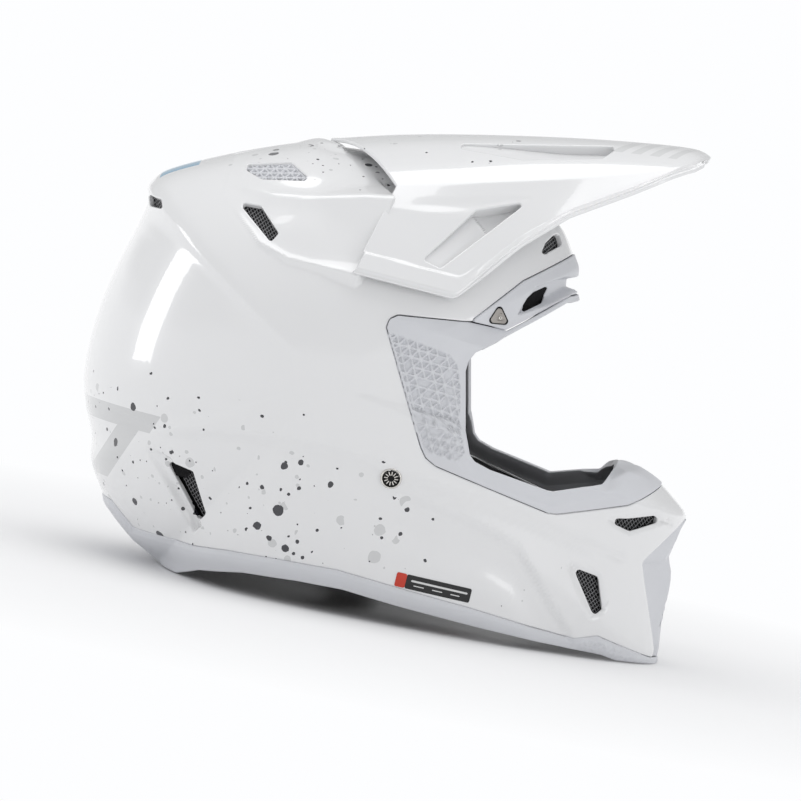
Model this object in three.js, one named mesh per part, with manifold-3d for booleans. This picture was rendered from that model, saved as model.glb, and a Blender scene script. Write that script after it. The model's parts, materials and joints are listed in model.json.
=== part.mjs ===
// Motocross helmet, in millimetres. +X is the wearer's front, +Y the wearer's left, +Z is up.
// It stands on its bottom rim at z = 0. Most walls follow one rounded surface, the dome, at
// different depths, and each piece is the part of its layer inside an outline drawn in side view.
import * as THREE from 'three';
import { mergeVertices } from 'three/addons/utils/BufferGeometryUtils.js';
import Module from 'manifold-3d';

const wasm = await Module();
wasm.setup();

// ---------------------------------------------------------------- driving dimensions
const HALF_WIDTH = 126;
const CENTRE = [-41, 131];
const SHELL_WALL = 3.5;
const FIT_GAP = 0.35;
const TRIM_PROUD = 0.8;
const BASE_TRIM_DEPTH = 8;
const SCREEN_DEPTH = [4.1, 5.9];
const FOAM_DEPTH = 6.6;
const PAD_DEPTH = 9.5;
const HEAD = { x: -41, z: 125, radii: [97, 78, 97] };
const COMFORT_THICKNESS = 6.5;
const FOAM_CLEARANCE = 8.6;
const PEAK_WALL = 3;
const PEAK_PIVOT = [-8, 203];
const STRAP_RIVET = [9, 85];
const STRAP_WIDTH = 24;
const STRAP_THICKNESS = 2;
const WIDE = 160;

// The bare shell's outline on the centre plane, as smooth runs that meet at corners.
const SHELL_RUNS = [
  { steps: 11, through: [[-170.8, 220], [-160, 232], [-121, 250.5], [-82, 264.5], [-64, 265.5],
    [-39, 266.5], [1, 267.5], [35, 262], [62, 252.5], [78, 243.5], [91.5, 223]] },
  { steps: 1, through: [[91.5, 223], [93.5, 206]] },
  { steps: 3, through: [[93.5, 206], [140, 116.5]] },
  { steps: 3, through: [[140, 116.5], [158, 110.3], [167, 105.8], [185.7, 91]] },
  { steps: 3, through: [[185.7, 91], [184.2, 50], [184.5, 0]] },
  { steps: 6, through: [[184.5, 0], [151, -45], [61, -95], [-29, -100], [-91, -60], [-120, -1]] },
  { steps: 9, through: [[-120, -1], [-135, 8], [-155, 26], [-171, 50], [-174, 66], [-182, 86],
    [-186.3, 106], [-185.2, 138], [-179.5, 168], [-168, 207]] },
  { steps: 1, through: [[-168, 207], [-170.8, 220]] },
];
const DOME_ROWS = 16;
const BULGE_ROUND = 2.2;
const BULGE_SIDE = 2.1;
const CHIN_NARROWING = 0.35;
const CHIN_DIRECTION = -0.342;

// Side-view outlines, (x, z).
const EYEPORT = [[45.8, 120.6], [39.1, 153.4], [39.6, 159.3], [42.5, 165.1], [54.7, 174.4],
  [57.8, 177.6], [77.3, 192.5], [90, 202.5], [150, 215], [170, 130], [139.3, 115.8],
  [134.6, 110.7], [130.5, 103.5], [101.4, 94.2], [64.1, 100.5], [54.6, 103.5], [51, 106.9]];
const EYEPORT_TRIM = [[-10.7, 170.1], [-9.9, 175], [-5.9, 178.1], [35.5, 182], [57.8, 181],
  [77.3, 195.8], [90, 205.8], [150, 222], [190, 130], [166.1, 105.8], [148.2, 93.8],
  [108, 82.2], [102.2, 81.8], [33, 97], [26.5, 100.5], [22.4, 106.2]];
const BROW_TRIM = [[36.5, 182.6], [61.4, 210.8], [89.2, 231.3], [110, 240], [110, 211.7],
  [90, 206.3], [77.3, 196.3], [57.8, 181.5]];
const BASE_SEAM = [[-200, 38], [-152.8, 33], [-135.7, 20.4], [-121.7, 20.4], [-98, 20.6],
  [-76.5, 23.6], [-45, 25.3], [-11, 26.2], [25.5, 22.8], [70, 18.6], [132, 10.6], [145.7, 14.5],
  [210, 1]];
const BASE_ARCH = [[-200, 0], [-106, 0], [-92, 6.5], [-65, 12], [-33, 14.2], [-6, 14.6],
  [29, 11], [77, 7.2], [113, 5], [150, 2.5], [160, 0], [210, 0]];
const MOUTH_EDGE = [[185.9, 89], [183.1, 85.1], [167.2, 64.8], [164.3, 60.8], [167.6, 50.9],
  [176.3, 27.5], [183, 9], [230, 9], [230, 89]];

const COLOUR = {
  white: 0xf4f5f7, grey: 0xcbcdd3, black: 0x15161a, foam: 0x2b2d31, fabric: 0x1b1c20,
  chrome: 0xc4c6c9, webbing: 0x17181b, red: 0xd8321f, blue: 0x2d6f9f,
};

// ---------------------------------------------------------------- building blocks
function solid(geometry) {
  const bare = geometry.clone();
  bare.deleteAttribute('normal');
  bare.deleteAttribute('uv');
  const merged = mergeVertices(bare, 1e-4);
  return new wasm.Manifold(new wasm.Mesh({
    numProp: 3,
    vertProperties: Float32Array.from(merged.attributes.position.array),
    triVerts: Uint32Array.from(merged.index.array),
  }));
}

function joined(solids) {
  return solids.reduce((whole, piece) => whole.add(piece));
}

const helmet = new THREE.Group();

function addPart(name, body, colour, roughness = 0.5, metalness = 0) {
  const mesh = body.getMesh();
  const geometry = new THREE.BufferGeometry();
  geometry.setAttribute('position', new THREE.BufferAttribute(Float32Array.from(mesh.vertProperties), 3));
  geometry.setIndex(new THREE.BufferAttribute(Uint32Array.from(mesh.triVerts), 1));
  geometry.computeVertexNormals();
  const material = new THREE.MeshStandardMaterial({ color: colour, roughness, metalness });
  const part = new THREE.Mesh(geometry, material);
  part.name = name;
  helmet.add(part);
}

// Adds NAME_right for the piece as built at -Y, and NAME_left for its mirror image.
function addPair(name, body, colour, roughness, metalness) {
  addPart(`${name}_right`, body, colour, roughness, metalness);
  addPart(`${name}_left`, body.mirror([0, 1, 0]), colour, roughness, metalness);
}

function box(low, high) {
  const size = high.map((value, i) => value - low[i]);
  const middle = high.map((value, i) => (value + low[i]) / 2);
  return solid(new THREE.BoxGeometry(...size).translate(...middle));
}

// A cylinder along Y at side-view place (x, z), from y0 to y1.
function crossPin([x, z], radius, y0, y1, sides = 16) {
  const geometry = new THREE.CylinderGeometry(radius, radius, Math.abs(y1 - y0), sides);
  return solid(geometry.translate(x, (y0 + y1) / 2, z));
}

// A prism along Y over a side-view outline.
function prism(outline, y0 = -WIDE, y1 = WIDE) {
  const shape = new THREE.Shape(outline.map(([x, z]) => new THREE.Vector2(x, z)));
  const geometry = new THREE.ExtrudeGeometry(shape, { depth: y1 - y0, bevelEnabled: false });
  return solid(geometry.rotateX(Math.PI / 2).translate(0, y1, 0));
}

// Moves every side of an outline out by a distance, along the corners' mitres.
function grown(outline, distance) {
  const points = outline.map(([x, z]) => new THREE.Vector2(x, z));
  const turn = THREE.ShapeUtils.isClockWise(points) ? -1 : 1;
  return points.map((point, i) => {
    const before = points[(i + points.length - 1) % points.length];
    const after = points[(i + 1) % points.length];
    const sideIn = point.clone().sub(before).normalize();
    const sideOut = after.clone().sub(point).normalize();
    const normalIn = new THREE.Vector2(sideIn.y, -sideIn.x);
    const mitre = normalIn.clone().add(new THREE.Vector2(sideOut.y, -sideOut.x)).normalize();
    const reach = distance * turn / Math.max(0.45, mitre.dot(normalIn));
    return [point.x + mitre.x * reach, point.y + mitre.y * reach];
  });
}

// ---------------------------------------------------------------- the dome and its layers
const outline = SHELL_RUNS.flatMap(({ steps, through }) => {
  const curve = new THREE.SplineCurve(through.map(([x, z]) => new THREE.Vector2(x, z)));
  return curve.getPoints(steps).slice(0, -1);
});

function outlineAt(column, offset) {
  const count = outline.length;
  const before = outline[(column + count - 1) % count];
  const after = outline[(column + 1) % count];
  const along = after.clone().sub(before).normalize();
  const point = outline[column % count];
  return [point.x - along.y * offset, point.y + along.x * offset];
}

// The rounded body whose side view is the shell's outline, moved out by offset.
function dome(offset) {
  const columns = outline.length;
  const sphere = new THREE.SphereGeometry(1, columns, DOME_ROWS);
  const position = sphere.attributes.position;
  for (let i = 0; i < position.count; i += 1) {
    const column = i % (columns + 1);
    const latitude = Math.PI * Math.floor(i / (columns + 1)) / DOME_ROWS;
    const [edgeX, edgeZ] = outlineAt(column % columns, offset);
    const direction = Math.atan2(edgeZ - CENTRE[1], edgeX - CENTRE[0]);
    const chin = Math.max(0, Math.cos(direction - CHIN_DIRECTION)) ** 4;
    const reach = Math.sin(latitude) ** (2 / BULGE_ROUND);
    const side = Math.abs(Math.cos(latitude)) ** (2 / (BULGE_SIDE - CHIN_NARROWING * chin));
    position.setXYZ(
      i,
      CENTRE[0] + (edgeX - CENTRE[0]) * reach,
      (HALF_WIDTH + offset) * side * Math.sign(Math.cos(latitude)),
      CENTRE[1] + (edgeZ - CENTRE[1]) * reach,
    );
  }
  return solid(sphere);
}

// The layer of the dome between two depths below the shell's face.
function layer(outerDepth, innerDepth) {
  return dome(-outerDepth).subtract(dome(-innerDepth));
}

function headForm(extra) {
  const sphere = new THREE.SphereGeometry(1, 24, 14);
  const [rx, ry, rz] = HEAD.radii.map((radius) => radius + extra);
  return solid(sphere.scale(rx, ry, rz).translate(HEAD.x, 0, HEAD.z));
}

// Moves a box's grid onto guide points: guides[station][line] is an (x, y, z) on the outer face,
// and inward gives the wall's other face.
function loft(guides, inward) {
  const stations = guides.length - 1;
  const lines = guides[0].length - 1;
  const grid = new THREE.BoxGeometry(1, 1, 1, stations, lines, 1);
  const position = grid.attributes.position;
  for (let i = 0; i < position.count; i += 1) {
    const station = Math.round((position.getX(i) + 0.5) * stations);
    const line = Math.round((position.getY(i) + 0.5) * lines);
    const guide = guides[station][line];
    const face = position.getZ(i) > 0 ? guide : inward(guides, station, line);
    position.setXYZ(i, ...face);
  }
  return solid(grid);
}

const baseBand = prism([...BASE_SEAM, [210, -60], [-200, -60]]);
const belowArch = prism([...BASE_ARCH, [210, -120], [-200, -120]]);
const eyeport = prism(EYEPORT);

// ---------------------------------------------------------------- vents
// Each vent is an opening in the skin with a woven screen behind it.
const VENTS = {
  brow_screen: { at: [[63.3, 192.9], [65.8, 201], [68.6, 205], [75.9, 209.7], [73.8, 200]] },
  forehead_screen: { at: [[69, 229.1], [69.7, 234.5], [72.9, 239.1], [75.5, 241.3], [79.2, 234.8],
    [70.4, 228.2]] },
  shoulder_screen: { at: [[-107.4, 221.1], [-96.7, 222.1], [-84.8, 210.5], [-87.1, 205.4]] },
  crown_grille: {
    at: [[-113.9, 243.3], [-86.2, 250.8], [-76, 245.1], [-101.2, 240]],
    reach: 64,
  },
  rear_slot_screen: { at: [[-167.9, 215.2], [-158, 214.8], [-155.5, 209], [-164.8, 208.8]] },
  rear_screen: { at: [[-121.2, 66.3], [-105.4, 64], [-93.5, 41], [-96.9, 35.7]] },
  chin_upper_screen: { at: [[140.8, 83.1], [152, 78.7], [168.3, 86.1], [165.2, 88.8],
    [149.5, 85]] },
  chin_lower_screen: { at: [[124.5, 51.4], [138.8, 48.7], [144.9, 31], [141, 26.7]] },
};
const SCREEN_LAP = 2.2;
const screenLayer = layer(...SCREEN_DEPTH);
const allVents = joined(Object.values(VENTS).map(({ at, reach = WIDE }) => prism(at, -reach, reach)));

// ---------------------------------------------------------------- outer shell
// Raised shoulder behind each wing of the peak: underside, lower edge, crease and inner top, rear
// to front. Its first and last lines lie inside the dome.
const SHOULDER = [
  [[-127, -60, 214], [-128, -60, 220], [-129, -56, 225], [-131, -48, 228]],
  [[-92, -97, 196], [-93, -105, 203], [-94, -84.5, 232], [-97, -46, 243]],
  [[-75, -104, 190], [-76, -112.5, 197.5], [-74, -91, 235], [-75, -44, 250]],
  [[-38, -106, 187], [-38.5, -119.5, 196.5], [-27, -94.5, 245], [-52, -38, 255]],
];
const shoulder = loft(SHOULDER, (guides, station, line) => {
  const [x, y, z] = guides[station][line];
  return [x, y * 0.68, z - 24];
});

let outerShell = dome(0).add(shoulder).add(shoulder.mirror([0, 1, 0])).subtract(dome(-SHELL_WALL));
outerShell = outerShell.subtract(belowArch).subtract(baseBand);
outerShell = outerShell.subtract(prism(grown(EYEPORT_TRIM, FIT_GAP)));
outerShell = outerShell.subtract(prism(grown(BROW_TRIM, FIT_GAP)));
outerShell = outerShell.subtract(prism(grown(MOUTH_EDGE, FIT_GAP))).subtract(allVents);
outerShell = outerShell.subtract(crossPin(STRAP_RIVET, 4.6, -WIDE, WIDE));
outerShell = outerShell.subtract(crossPin(PEAK_PIVOT, 4.6, -WIDE, WIDE));
addPart('outer_shell', outerShell, COLOUR.white, 0.12);

// ---------------------------------------------------------------- trims
const trimLayer = layer(-TRIM_PROUD, SHELL_WALL);
addPart('eyeport_trim', trimLayer.intersect(prism(EYEPORT_TRIM)).subtract(eyeport), COLOUR.grey, 0.5);
addPart('brow_trim', trimLayer.intersect(prism(BROW_TRIM)).subtract(allVents), COLOUR.grey, 0.45);

const loweredSeam = BASE_SEAM.map(([x, z]) => [x, z - FIT_GAP]);
const baseTrim = layer(-TRIM_PROUD, BASE_TRIM_DEPTH)
  .intersect(prism([...loweredSeam, [210, -60], [-200, -60]]))
  .subtract(belowArch);
addPart('base_trim', baseTrim, COLOUR.grey, 0.55);

const MOUTH_PORT = { y: 24, z: [30, 70] };
const mouthPort = box([140, -MOUTH_PORT.y, MOUTH_PORT.z[0]], [200, MOUTH_PORT.y, MOUTH_PORT.z[1]]);
const mouthVent = trimLayer.intersect(prism(MOUTH_EDGE)).subtract(mouthPort);
addPart('mouth_vent', mouthVent.subtract(baseBand), COLOUR.grey, 0.5);
const mouthScreenZone = box(
  [150, -MOUTH_PORT.y - 3, MOUTH_PORT.z[0] - 3],
  [200, MOUTH_PORT.y + 3, MOUTH_PORT.z[1] + 3],
);
addPart('mouth_screen', screenLayer.intersect(mouthScreenZone), COLOUR.black, 0.8);

const rightHalf = box([-250, -WIDE, -50], [250, -0.5, 320]);
for (const [name, { at }] of Object.entries(VENTS)) {
  addPair(name, screenLayer.intersect(prism(grown(at, SCREEN_LAP))).intersect(rightHalf), COLOUR.black, 0.8);
}

// Brow badge: a small plate with rounded corners, held by one screw, flush in the brow trim's end.
const BADGE = [[47.2, 185.3], [49.6, 192.6], [51.4, 193], [56.6, 186.6], [55.8, 184.8], [48.6, 183.9]];
const badgeLayer = layer(-2.6, -1.1);
const badge = badgeLayer.intersect(prism(BADGE)).intersect(rightHalf);
const BADGE_SCREW = [51.6, 187.6];
addPair('brow_badge', badge.subtract(crossPin(BADGE_SCREW, 1.9, -WIDE, 0, 10)), COLOUR.chrome, 0.4, 0.6);
const badgeScrew = layer(-3, -1.2).intersect(crossPin(BADGE_SCREW, 1.5, -WIDE, 0, 10));
addPair('brow_screw', badgeScrew, COLOUR.chrome, 0.3, 1);

// ---------------------------------------------------------------- liners and pads
const FOAM_ZONE = [[-200, 59], [-200, 300], [150, 300], [97, 210], [55, 183.5], [34, 166], [36, 116],
  [-95, 116], [-108, 59]];
const crownFoam = dome(-FOAM_DEPTH).intersect(prism(FOAM_ZONE)).subtract(headForm(FOAM_CLEARANCE));
addPart('impact_liner', crownFoam, COLOUR.foam, 0.9);

const COMFORT_ZONE = [[-180, 119], [-180, 240], [75, 240], [50, 190], [32, 164], [28, 119]];
const comfort = headForm(COMFORT_THICKNESS).subtract(headForm(0)).intersect(prism(COMFORT_ZONE));
addPart('comfort_liner', comfort, COLOUR.fabric, 0.95);

// Low-friction discs that let the comfort liner turn a little against the foam.
const discLayer = headForm(FOAM_CLEARANCE - 0.4).subtract(headForm(FOAM_CLEARANCE - 1.4));
const DISCS = {
  top: [0, 0, 1], front: [0.75, 0, 0.75], rear: [-0.85, 0, 0.55], right: [0, -0.85, 0.55],
  left: [0, 0.85, 0.55],
};
for (const [name, direction] of Object.entries(DISCS)) {
  const cutter = new THREE.CylinderGeometry(14, 14, 70, 14).translate(0, 105, 0);
  const turn = new THREE.Quaternion().setFromUnitVectors(
    new THREE.Vector3(0, 1, 0),
    new THREE.Vector3(...direction).normalize(),
  );
  cutter.applyQuaternion(turn).translate(HEAD.x, 0, HEAD.z);
  addPart(`slip_disc_${name}`, discLayer.intersect(solid(cutter)), COLOUR.blue, 0.4);
}

const CHIN_FOAM_ZONE = [[98, 24], [98, 76], [135, 90], [150, 100], [168, 98], [215, 70], [215, 22]];
const chinFoam = layer(FOAM_DEPTH, 24).intersect(prism(CHIN_FOAM_ZONE)).subtract(mouthPort);
addPart('chin_bar_liner', chinFoam, COLOUR.foam, 0.9);
const CHIN_PAD_ZONE = [[112, 30], [112, 74], [215, 90], [215, 30]];
const chinPad = layer(24.4, 30).intersect(prism(CHIN_PAD_ZONE)).subtract(mouthPort);
addPart('chin_guard_pad', chinPad, COLOUR.fabric, 0.95);

// The cheek pads are open below for the chin strap, and hollowed outside around its rivet.
const CHEEK_ZONE = [[-34, 36], [-34, 108], [-28, 112], [34, 112], [44, 98], [60, 92], [90, 84],
  [92, 60], [84, 40], [62, 32], [-28, 32]];
const STRAP_SLOT = { x: [-19, 38], top: 76, pocketTop: 101, pocketY: 108 };
let cheekPad = dome(-PAD_DEPTH).intersect(prism(CHEEK_ZONE, -WIDE, -60));
cheekPad = cheekPad.subtract(box([STRAP_SLOT.x[0], -WIDE, 0], [STRAP_SLOT.x[1], 0, STRAP_SLOT.top]));
cheekPad = cheekPad.subtract(
  box([STRAP_SLOT.x[0], -WIDE, 0], [STRAP_SLOT.x[1], -STRAP_SLOT.pocketY, STRAP_SLOT.pocketTop]),
);
addPair('cheek_pad', cheekPad, COLOUR.fabric, 0.95);
addPair('cheek_pull_tab', box([52, -84, 14], [68, -82.4, 31.6]), COLOUR.red, 0.8);

const NECK_ZONE = [[-165, 56], [-62, 56], [-52, 34], [-58, 29], [-136, 29], [-165, 40]];
addPart('neck_roll', layer(PAD_DEPTH, 38).intersect(prism(NECK_ZONE)), COLOUR.fabric, 0.95);

// ---------------------------------------------------------------- peak
// Guide points from the centre to the lower edge of a wing, rear to front.
const PEAK_GUIDES = [
  [[-68.3, 0, 269.4], [-43, -52, 266.8], [-21.7, -86, 251], [-24.5, -98, 240], [-35.3, -121, 198]],
  [[-35, 0, 278.5], [-15, -50, 274], [2, -84, 256.5], [0, -98, 241], [-5.6, -121, 196.4]],
  [[0, 0, 286], [18, -48, 281], [30, -80, 263.2], [28, -95, 240], [24.2, -117, 194.7]],
  [[40, 0, 293], [48, -46, 287.5], [60, -75.5, 270.5], [58, -86, 253], [55, -100, 231]],
  [[80, 0, 299.5], [84, -42, 294], [90, -68, 278.5], [86, -78, 266], [80, -88, 253.5]],
  [[118, 0, 304.4], [120, -36, 299.5], [120, -58.5, 287], [116, -65, 280], [112, -71, 272.8]],
  [[148.5, 0, 307.2], [146, -28, 304], [141, -48, 295.5], [140, -52, 293], [139.5, -55.5, 290.8]],
  [[155.8, 0, 304], [154.5, -24, 302.8], [152, -40, 300.9], [151, -43, 300.4], [149.7, -46, 299.5]],
];
const peakGuides = PEAK_GUIDES.map((guide) => {
  const left = guide.slice(1).map(([x, y, z]) => [x, -y, z]);
  return [...guide.slice().reverse(), ...left];
});

function peakInside(guides, station, line) {
  const last = guides.length - 1;
  const edge = guides[0].length - 1;
  const ahead = new THREE.Vector3(...guides[Math.min(station + 1, last)][line]);
  const behind = new THREE.Vector3(...guides[Math.max(station - 1, 0)][line]);
  const right = new THREE.Vector3(...guides[station][Math.min(line + 1, edge)]);
  const left = new THREE.Vector3(...guides[station][Math.max(line - 1, 0)]);
  const inward = ahead.sub(behind).cross(left.sub(right)).normalize();
  const point = new THREE.Vector3(...guides[station][line]);
  return point.addScaledVector(inward, PEAK_WALL).toArray();
}

const CENTRE_SCREW = { x: 22, radius: 2.6 };
const PIVOT_PIN = 3.8;
let peak = loft(peakGuides, peakInside);
peak = peak.subtract(crossPin(PEAK_PIVOT, PIVOT_PIN + FIT_GAP, -WIDE, WIDE));
const upright = (radius, z0, z1, sides = 14) => {
  const geometry = new THREE.CylinderGeometry(radius, radius, z1 - z0, sides).rotateX(Math.PI / 2);
  return solid(geometry.translate(CENTRE_SCREW.x, 0, (z0 + z1) / 2));
};
peak = peak.subtract(upright(CENTRE_SCREW.radius + FIT_GAP, 270, 310));
addPart('visor_peak', peak, COLOUR.white, 0.15);

// The peak turns on a stud at each side, and its centre screw runs in a slotted bracket.
const studShank = crossPin(PEAK_PIVOT, PIVOT_PIN, -117.4, -107);
const studFlange = layer(-1.8, -0.5).intersect(crossPin(PEAK_PIVOT, 7, -WIDE, 0));
addPair('peak_stud', studShank.add(studFlange), COLOUR.black, 0.5);
const screwHead = upright(5.2, 291.2, 293.6, 18);
addPart('peak_screw', screwHead.add(upright(CENTRE_SCREW.radius, 274.5, 291.5)), COLOUR.chrome, 0.3, 1);
const bracketFeet = joined([-1, 1].map((side) => box(
  [CENTRE_SCREW.x - 14, side * 11 - 2.5, 268.3],
  [CENTRE_SCREW.x + 18, side * 11 + 2.5, 277.2],
)));
const bracketPlate = box([CENTRE_SCREW.x - 14, -13.5, 275.2], [CENTRE_SCREW.x + 18, 13.5, 277.8]);
const bracketSlot = box([CENTRE_SCREW.x - 5, -3.4, 270], [CENTRE_SCREW.x + 12.5, 3.4, 280]);
addPart('peak_bracket', bracketFeet.add(bracketPlate).subtract(bracketSlot), COLOUR.black, 0.5);

// ---------------------------------------------------------------- chin strap
// The strap is fastened, so it hangs as one loop from the two rivets.
const RIVET_PIN = 4;
const rivetHead = crossPin(STRAP_RIVET, 6.2, -125.6, -123.4, 18);
const rivetFlange = crossPin(STRAP_RIVET, 8, -113.2, -111.8);
let rivet = crossPin(STRAP_RIVET, RIVET_PIN, -124, -113).add(rivetHead).add(rivetFlange);
rivet = rivet.subtract(crossPin(STRAP_RIVET, 5.1, -126, -124.8, 18));
addPair('strap_rivet', rivet, COLOUR.chrome, 0.2, 1);
addPair('rivet_cap', crossPin(STRAP_RIVET, 4.8, -125.9, -125.1, 16), COLOUR.black, 0.4);

// A band of webbing along points (y, z), as wide as the strap in X.
function webbing(route, thickness = STRAP_THICKNESS, width = STRAP_WIDTH) {
  const half = thickness / 2;
  const offsetSide = (shift) => route.map(([y, z], i) => {
    const before = route[Math.max(i - 1, 0)];
    const after = route[Math.min(i + 1, route.length - 1)];
    const along = new THREE.Vector2(after[0] - before[0], after[1] - before[1]).normalize();
    return new THREE.Vector2(y - along.y * shift, z + along.x * shift);
  });
  const shape = new THREE.Shape([...offsetSide(half), ...offsetSide(-half).reverse()]);
  return alongX(new THREE.ExtrudeGeometry(shape, { depth: width, bevelEnabled: false }), width);
}

// Turns a geometry extruded from a (y, z) shape so that it lies across the strap.
function alongX(geometry, width) {
  const matrix = new THREE.Matrix4().makeBasis(
    new THREE.Vector3(0, 1, 0),
    new THREE.Vector3(0, 0, 1),
    new THREE.Vector3(1, 0, 0),
  );
  return solid(geometry.applyMatrix4(matrix).translate(STRAP_RIVET[0] - width / 2, 0, 0));
}

// The end of a strap folded round a ring's bar, as a ring with an oval section.
function foldedEnd([y, z], tilt) {
  const shape = new THREE.Shape();
  shape.absellipse(y, z, 5.6, 6.8, 0, Math.PI * 2, false, tilt);
  const hole = new THREE.Path();
  hole.absellipse(y, z, 3.4, 4.7, 0, Math.PI * 2, true, tilt);
  shape.holes.push(hole);
  const options = { depth: STRAP_WIDTH, bevelEnabled: false, curveSegments: 10 };
  return alongX(new THREE.ExtrudeGeometry(shape, options), STRAP_WIDTH);
}

// The rings sit on the left slope of the loop. A place on the slope is a distance along it and a
// lift above it.
const SLOPE = [[86, 44], [30, 23]];
const slopeAngle = Math.atan2(SLOPE[0][1] - SLOPE[1][1], SLOPE[0][0] - SLOPE[1][0]);
const RING = { place: [59, 33.9], bar: 11, across: 16, wire: 2.8, stack: 1.6, thick: 2.6 };
const onSlope = (distance, lift = 0) => [
  RING.place[0] + Math.cos(slopeAngle) * distance - Math.sin(slopeAngle) * lift,
  RING.place[1] + Math.sin(slopeAngle) * distance + Math.cos(slopeAngle) * lift,
];
const TAB_ROUTE = [[114.6, 92], [114.6, 74], [111, 61], [101, 51]];
const tabHole = crossPin(STRAP_RIVET, RIVET_PIN + 0.5, 100, WIDE);
const leftStrap = webbing([...TAB_ROUTE, SLOPE[0], onSlope(RING.bar + 4.6)])
  .subtract(tabHole)
  .add(foldedEnd(onSlope(RING.bar), slopeAngle));
addPart('chin_strap_left', leftStrap, COLOUR.webbing, 0.9);

// The long strap comes in over both rings, drops through them and doubles back as its tail.
const rightRoute = TAB_ROUTE.map(([y, z]) => [-y, z]);
const throughRings = [onSlope(-24, 1), onSlope(-15, 4.6), onSlope(-5, 4.6), onSlope(-1, 3),
  onSlope(0.5, 0), onSlope(-1, -3.4), onSlope(-5, -5), onSlope(-15, -5), onSlope(-26, -4)];
const tailRoute = [[26, 17.4], [10, 15.6], [-10, 15.6], [-31, 19.2], [-52, 27]];
const rightStrap = webbing([...rightRoute, [-86, 44], [-30, 23], [-10, 19.5], [10, 19.5],
  [24, 21.4], ...throughRings, ...tailRoute]).subtract(tabHole.mirror([0, 1, 0]));
addPart('chin_strap_right', rightStrap, COLOUR.webbing, 0.9);

// A D-shaped ring lying along the slope.
function dRing(lift) {
  const { bar, across, wire } = RING;
  const dShape = (inset) => {
    const shape = new THREE.Shape();
    shape.moveTo(bar + wire / 2 - inset, -across + inset);
    shape.lineTo(bar + wire / 2 - inset, across - inset);
    shape.lineTo(-3, across - inset);
    shape.bezierCurveTo(-15 + inset, across - 2, -15 + inset, -across + 2, -3, -across + inset);
    return shape;
  };
  const ring = dShape(0);
  ring.holes.push(dShape(wire));
  const options = { depth: RING.thick, bevelEnabled: false, curveSegments: 8 };
  const [y, z] = onSlope(0, lift - RING.thick / 2);
  const matrix = new THREE.Matrix4().makeBasis(
    new THREE.Vector3(0, Math.cos(slopeAngle), Math.sin(slopeAngle)),
    new THREE.Vector3(-1, 0, 0),
    new THREE.Vector3(0, -Math.sin(slopeAngle), Math.cos(slopeAngle)),
  );
  const geometry = new THREE.ExtrudeGeometry(ring, options).applyMatrix4(matrix);
  return solid(geometry.translate(STRAP_RIVET[0], y, z));
}
addPart('d_ring_upper', dRing(RING.stack), COLOUR.chrome, 0.25, 1);
addPart('d_ring_lower', dRing(-RING.stack), COLOUR.chrome, 0.25, 1);

export default helmet;
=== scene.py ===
import json
import math

import bpy
import numpy as np
from mathutils import Matrix, Vector
from mathutils.bvhtree import BVHTree


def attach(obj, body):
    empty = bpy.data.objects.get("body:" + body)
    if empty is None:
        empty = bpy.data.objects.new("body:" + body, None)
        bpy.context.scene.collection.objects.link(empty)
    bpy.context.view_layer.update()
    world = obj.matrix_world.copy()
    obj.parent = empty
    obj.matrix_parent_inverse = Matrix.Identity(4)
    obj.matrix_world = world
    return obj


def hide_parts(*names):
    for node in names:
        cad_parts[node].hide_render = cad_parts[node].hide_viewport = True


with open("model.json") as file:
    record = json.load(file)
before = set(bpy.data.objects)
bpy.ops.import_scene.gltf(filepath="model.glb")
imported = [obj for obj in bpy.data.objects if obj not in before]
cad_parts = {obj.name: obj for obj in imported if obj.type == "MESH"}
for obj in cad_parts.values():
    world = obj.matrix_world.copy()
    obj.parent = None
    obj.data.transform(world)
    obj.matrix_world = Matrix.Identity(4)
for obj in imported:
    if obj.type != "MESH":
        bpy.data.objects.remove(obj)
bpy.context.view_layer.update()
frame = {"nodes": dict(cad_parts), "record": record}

MM = 0.001                                    # shapes are in millimetres, Blender is in metres
TINY = 1e-9
BOTH_SIDES = (("right", -1), ("left", 1))     # the wearer's sides, with the sign of y

# ------------------------------------------------------------------ small helpers
def unit(v):
    return v / np.maximum(np.linalg.norm(v, axis=-1, keepdims=True), 1e-12)


def smoothstep(a, b, x):
    t = np.clip((x - a) / (b - a), 0.0, 1.0)
    return t * t * (3 - 2 * t)


def softmin(a, b, k):
    h = np.clip(0.5 + 0.5 * (b - a) / k, 0.0, 1.0)
    return b + (a - b) * h - k * h * (1 - h)


def softmax(a, b, k):
    return -softmin(-a, -b, k)


def catmull(points, steps):
    """Points along a uniform Catmull-Rom curve through the given points, any dimension."""
    p = np.asarray(points, float)
    p = np.vstack([2 * p[0] - p[1], p, 2 * p[-1] - p[-2]])
    t = np.linspace(0, 1, steps, endpoint=False)[:, None]
    out = []
    for i in range(1, len(p) - 2):
        a, b, c, d = p[i - 1], p[i], p[i + 1], p[i + 2]
        out.append(0.5 * (2 * b + (c - a) * t + (2 * a - 5 * b + 4 * c - d) * t ** 2
                          + (3 * b - a - 3 * c + d) * t ** 3))
    return np.vstack(out + [p[-2:-1]])


def polygon_distance(p, polygon):
    """Signed distance from side-view points to a polygon, negative inside."""
    poly = np.asarray(polygon, float)
    best = np.full(len(p), np.inf)
    inside = np.zeros(len(p), bool)
    for a, b in zip(poly, np.roll(poly, -1, axis=0)):
        e = b - a
        w = p - a
        t = np.clip((w @ e) / (e @ e), 0, 1)
        d = w - t[:, None] * e
        best = np.minimum(best, (d * d).sum(1))
        rise = e[1] if abs(e[1]) > TINY else TINY
        crosses = ((a[1] <= p[:, 1]) != (b[1] <= p[:, 1])) & (
            p[:, 0] < a[0] + (p[:, 1] - a[1]) * e[0] / rise)
        inside ^= crosses
    return np.where(inside, -1, 1) * np.sqrt(best)


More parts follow.
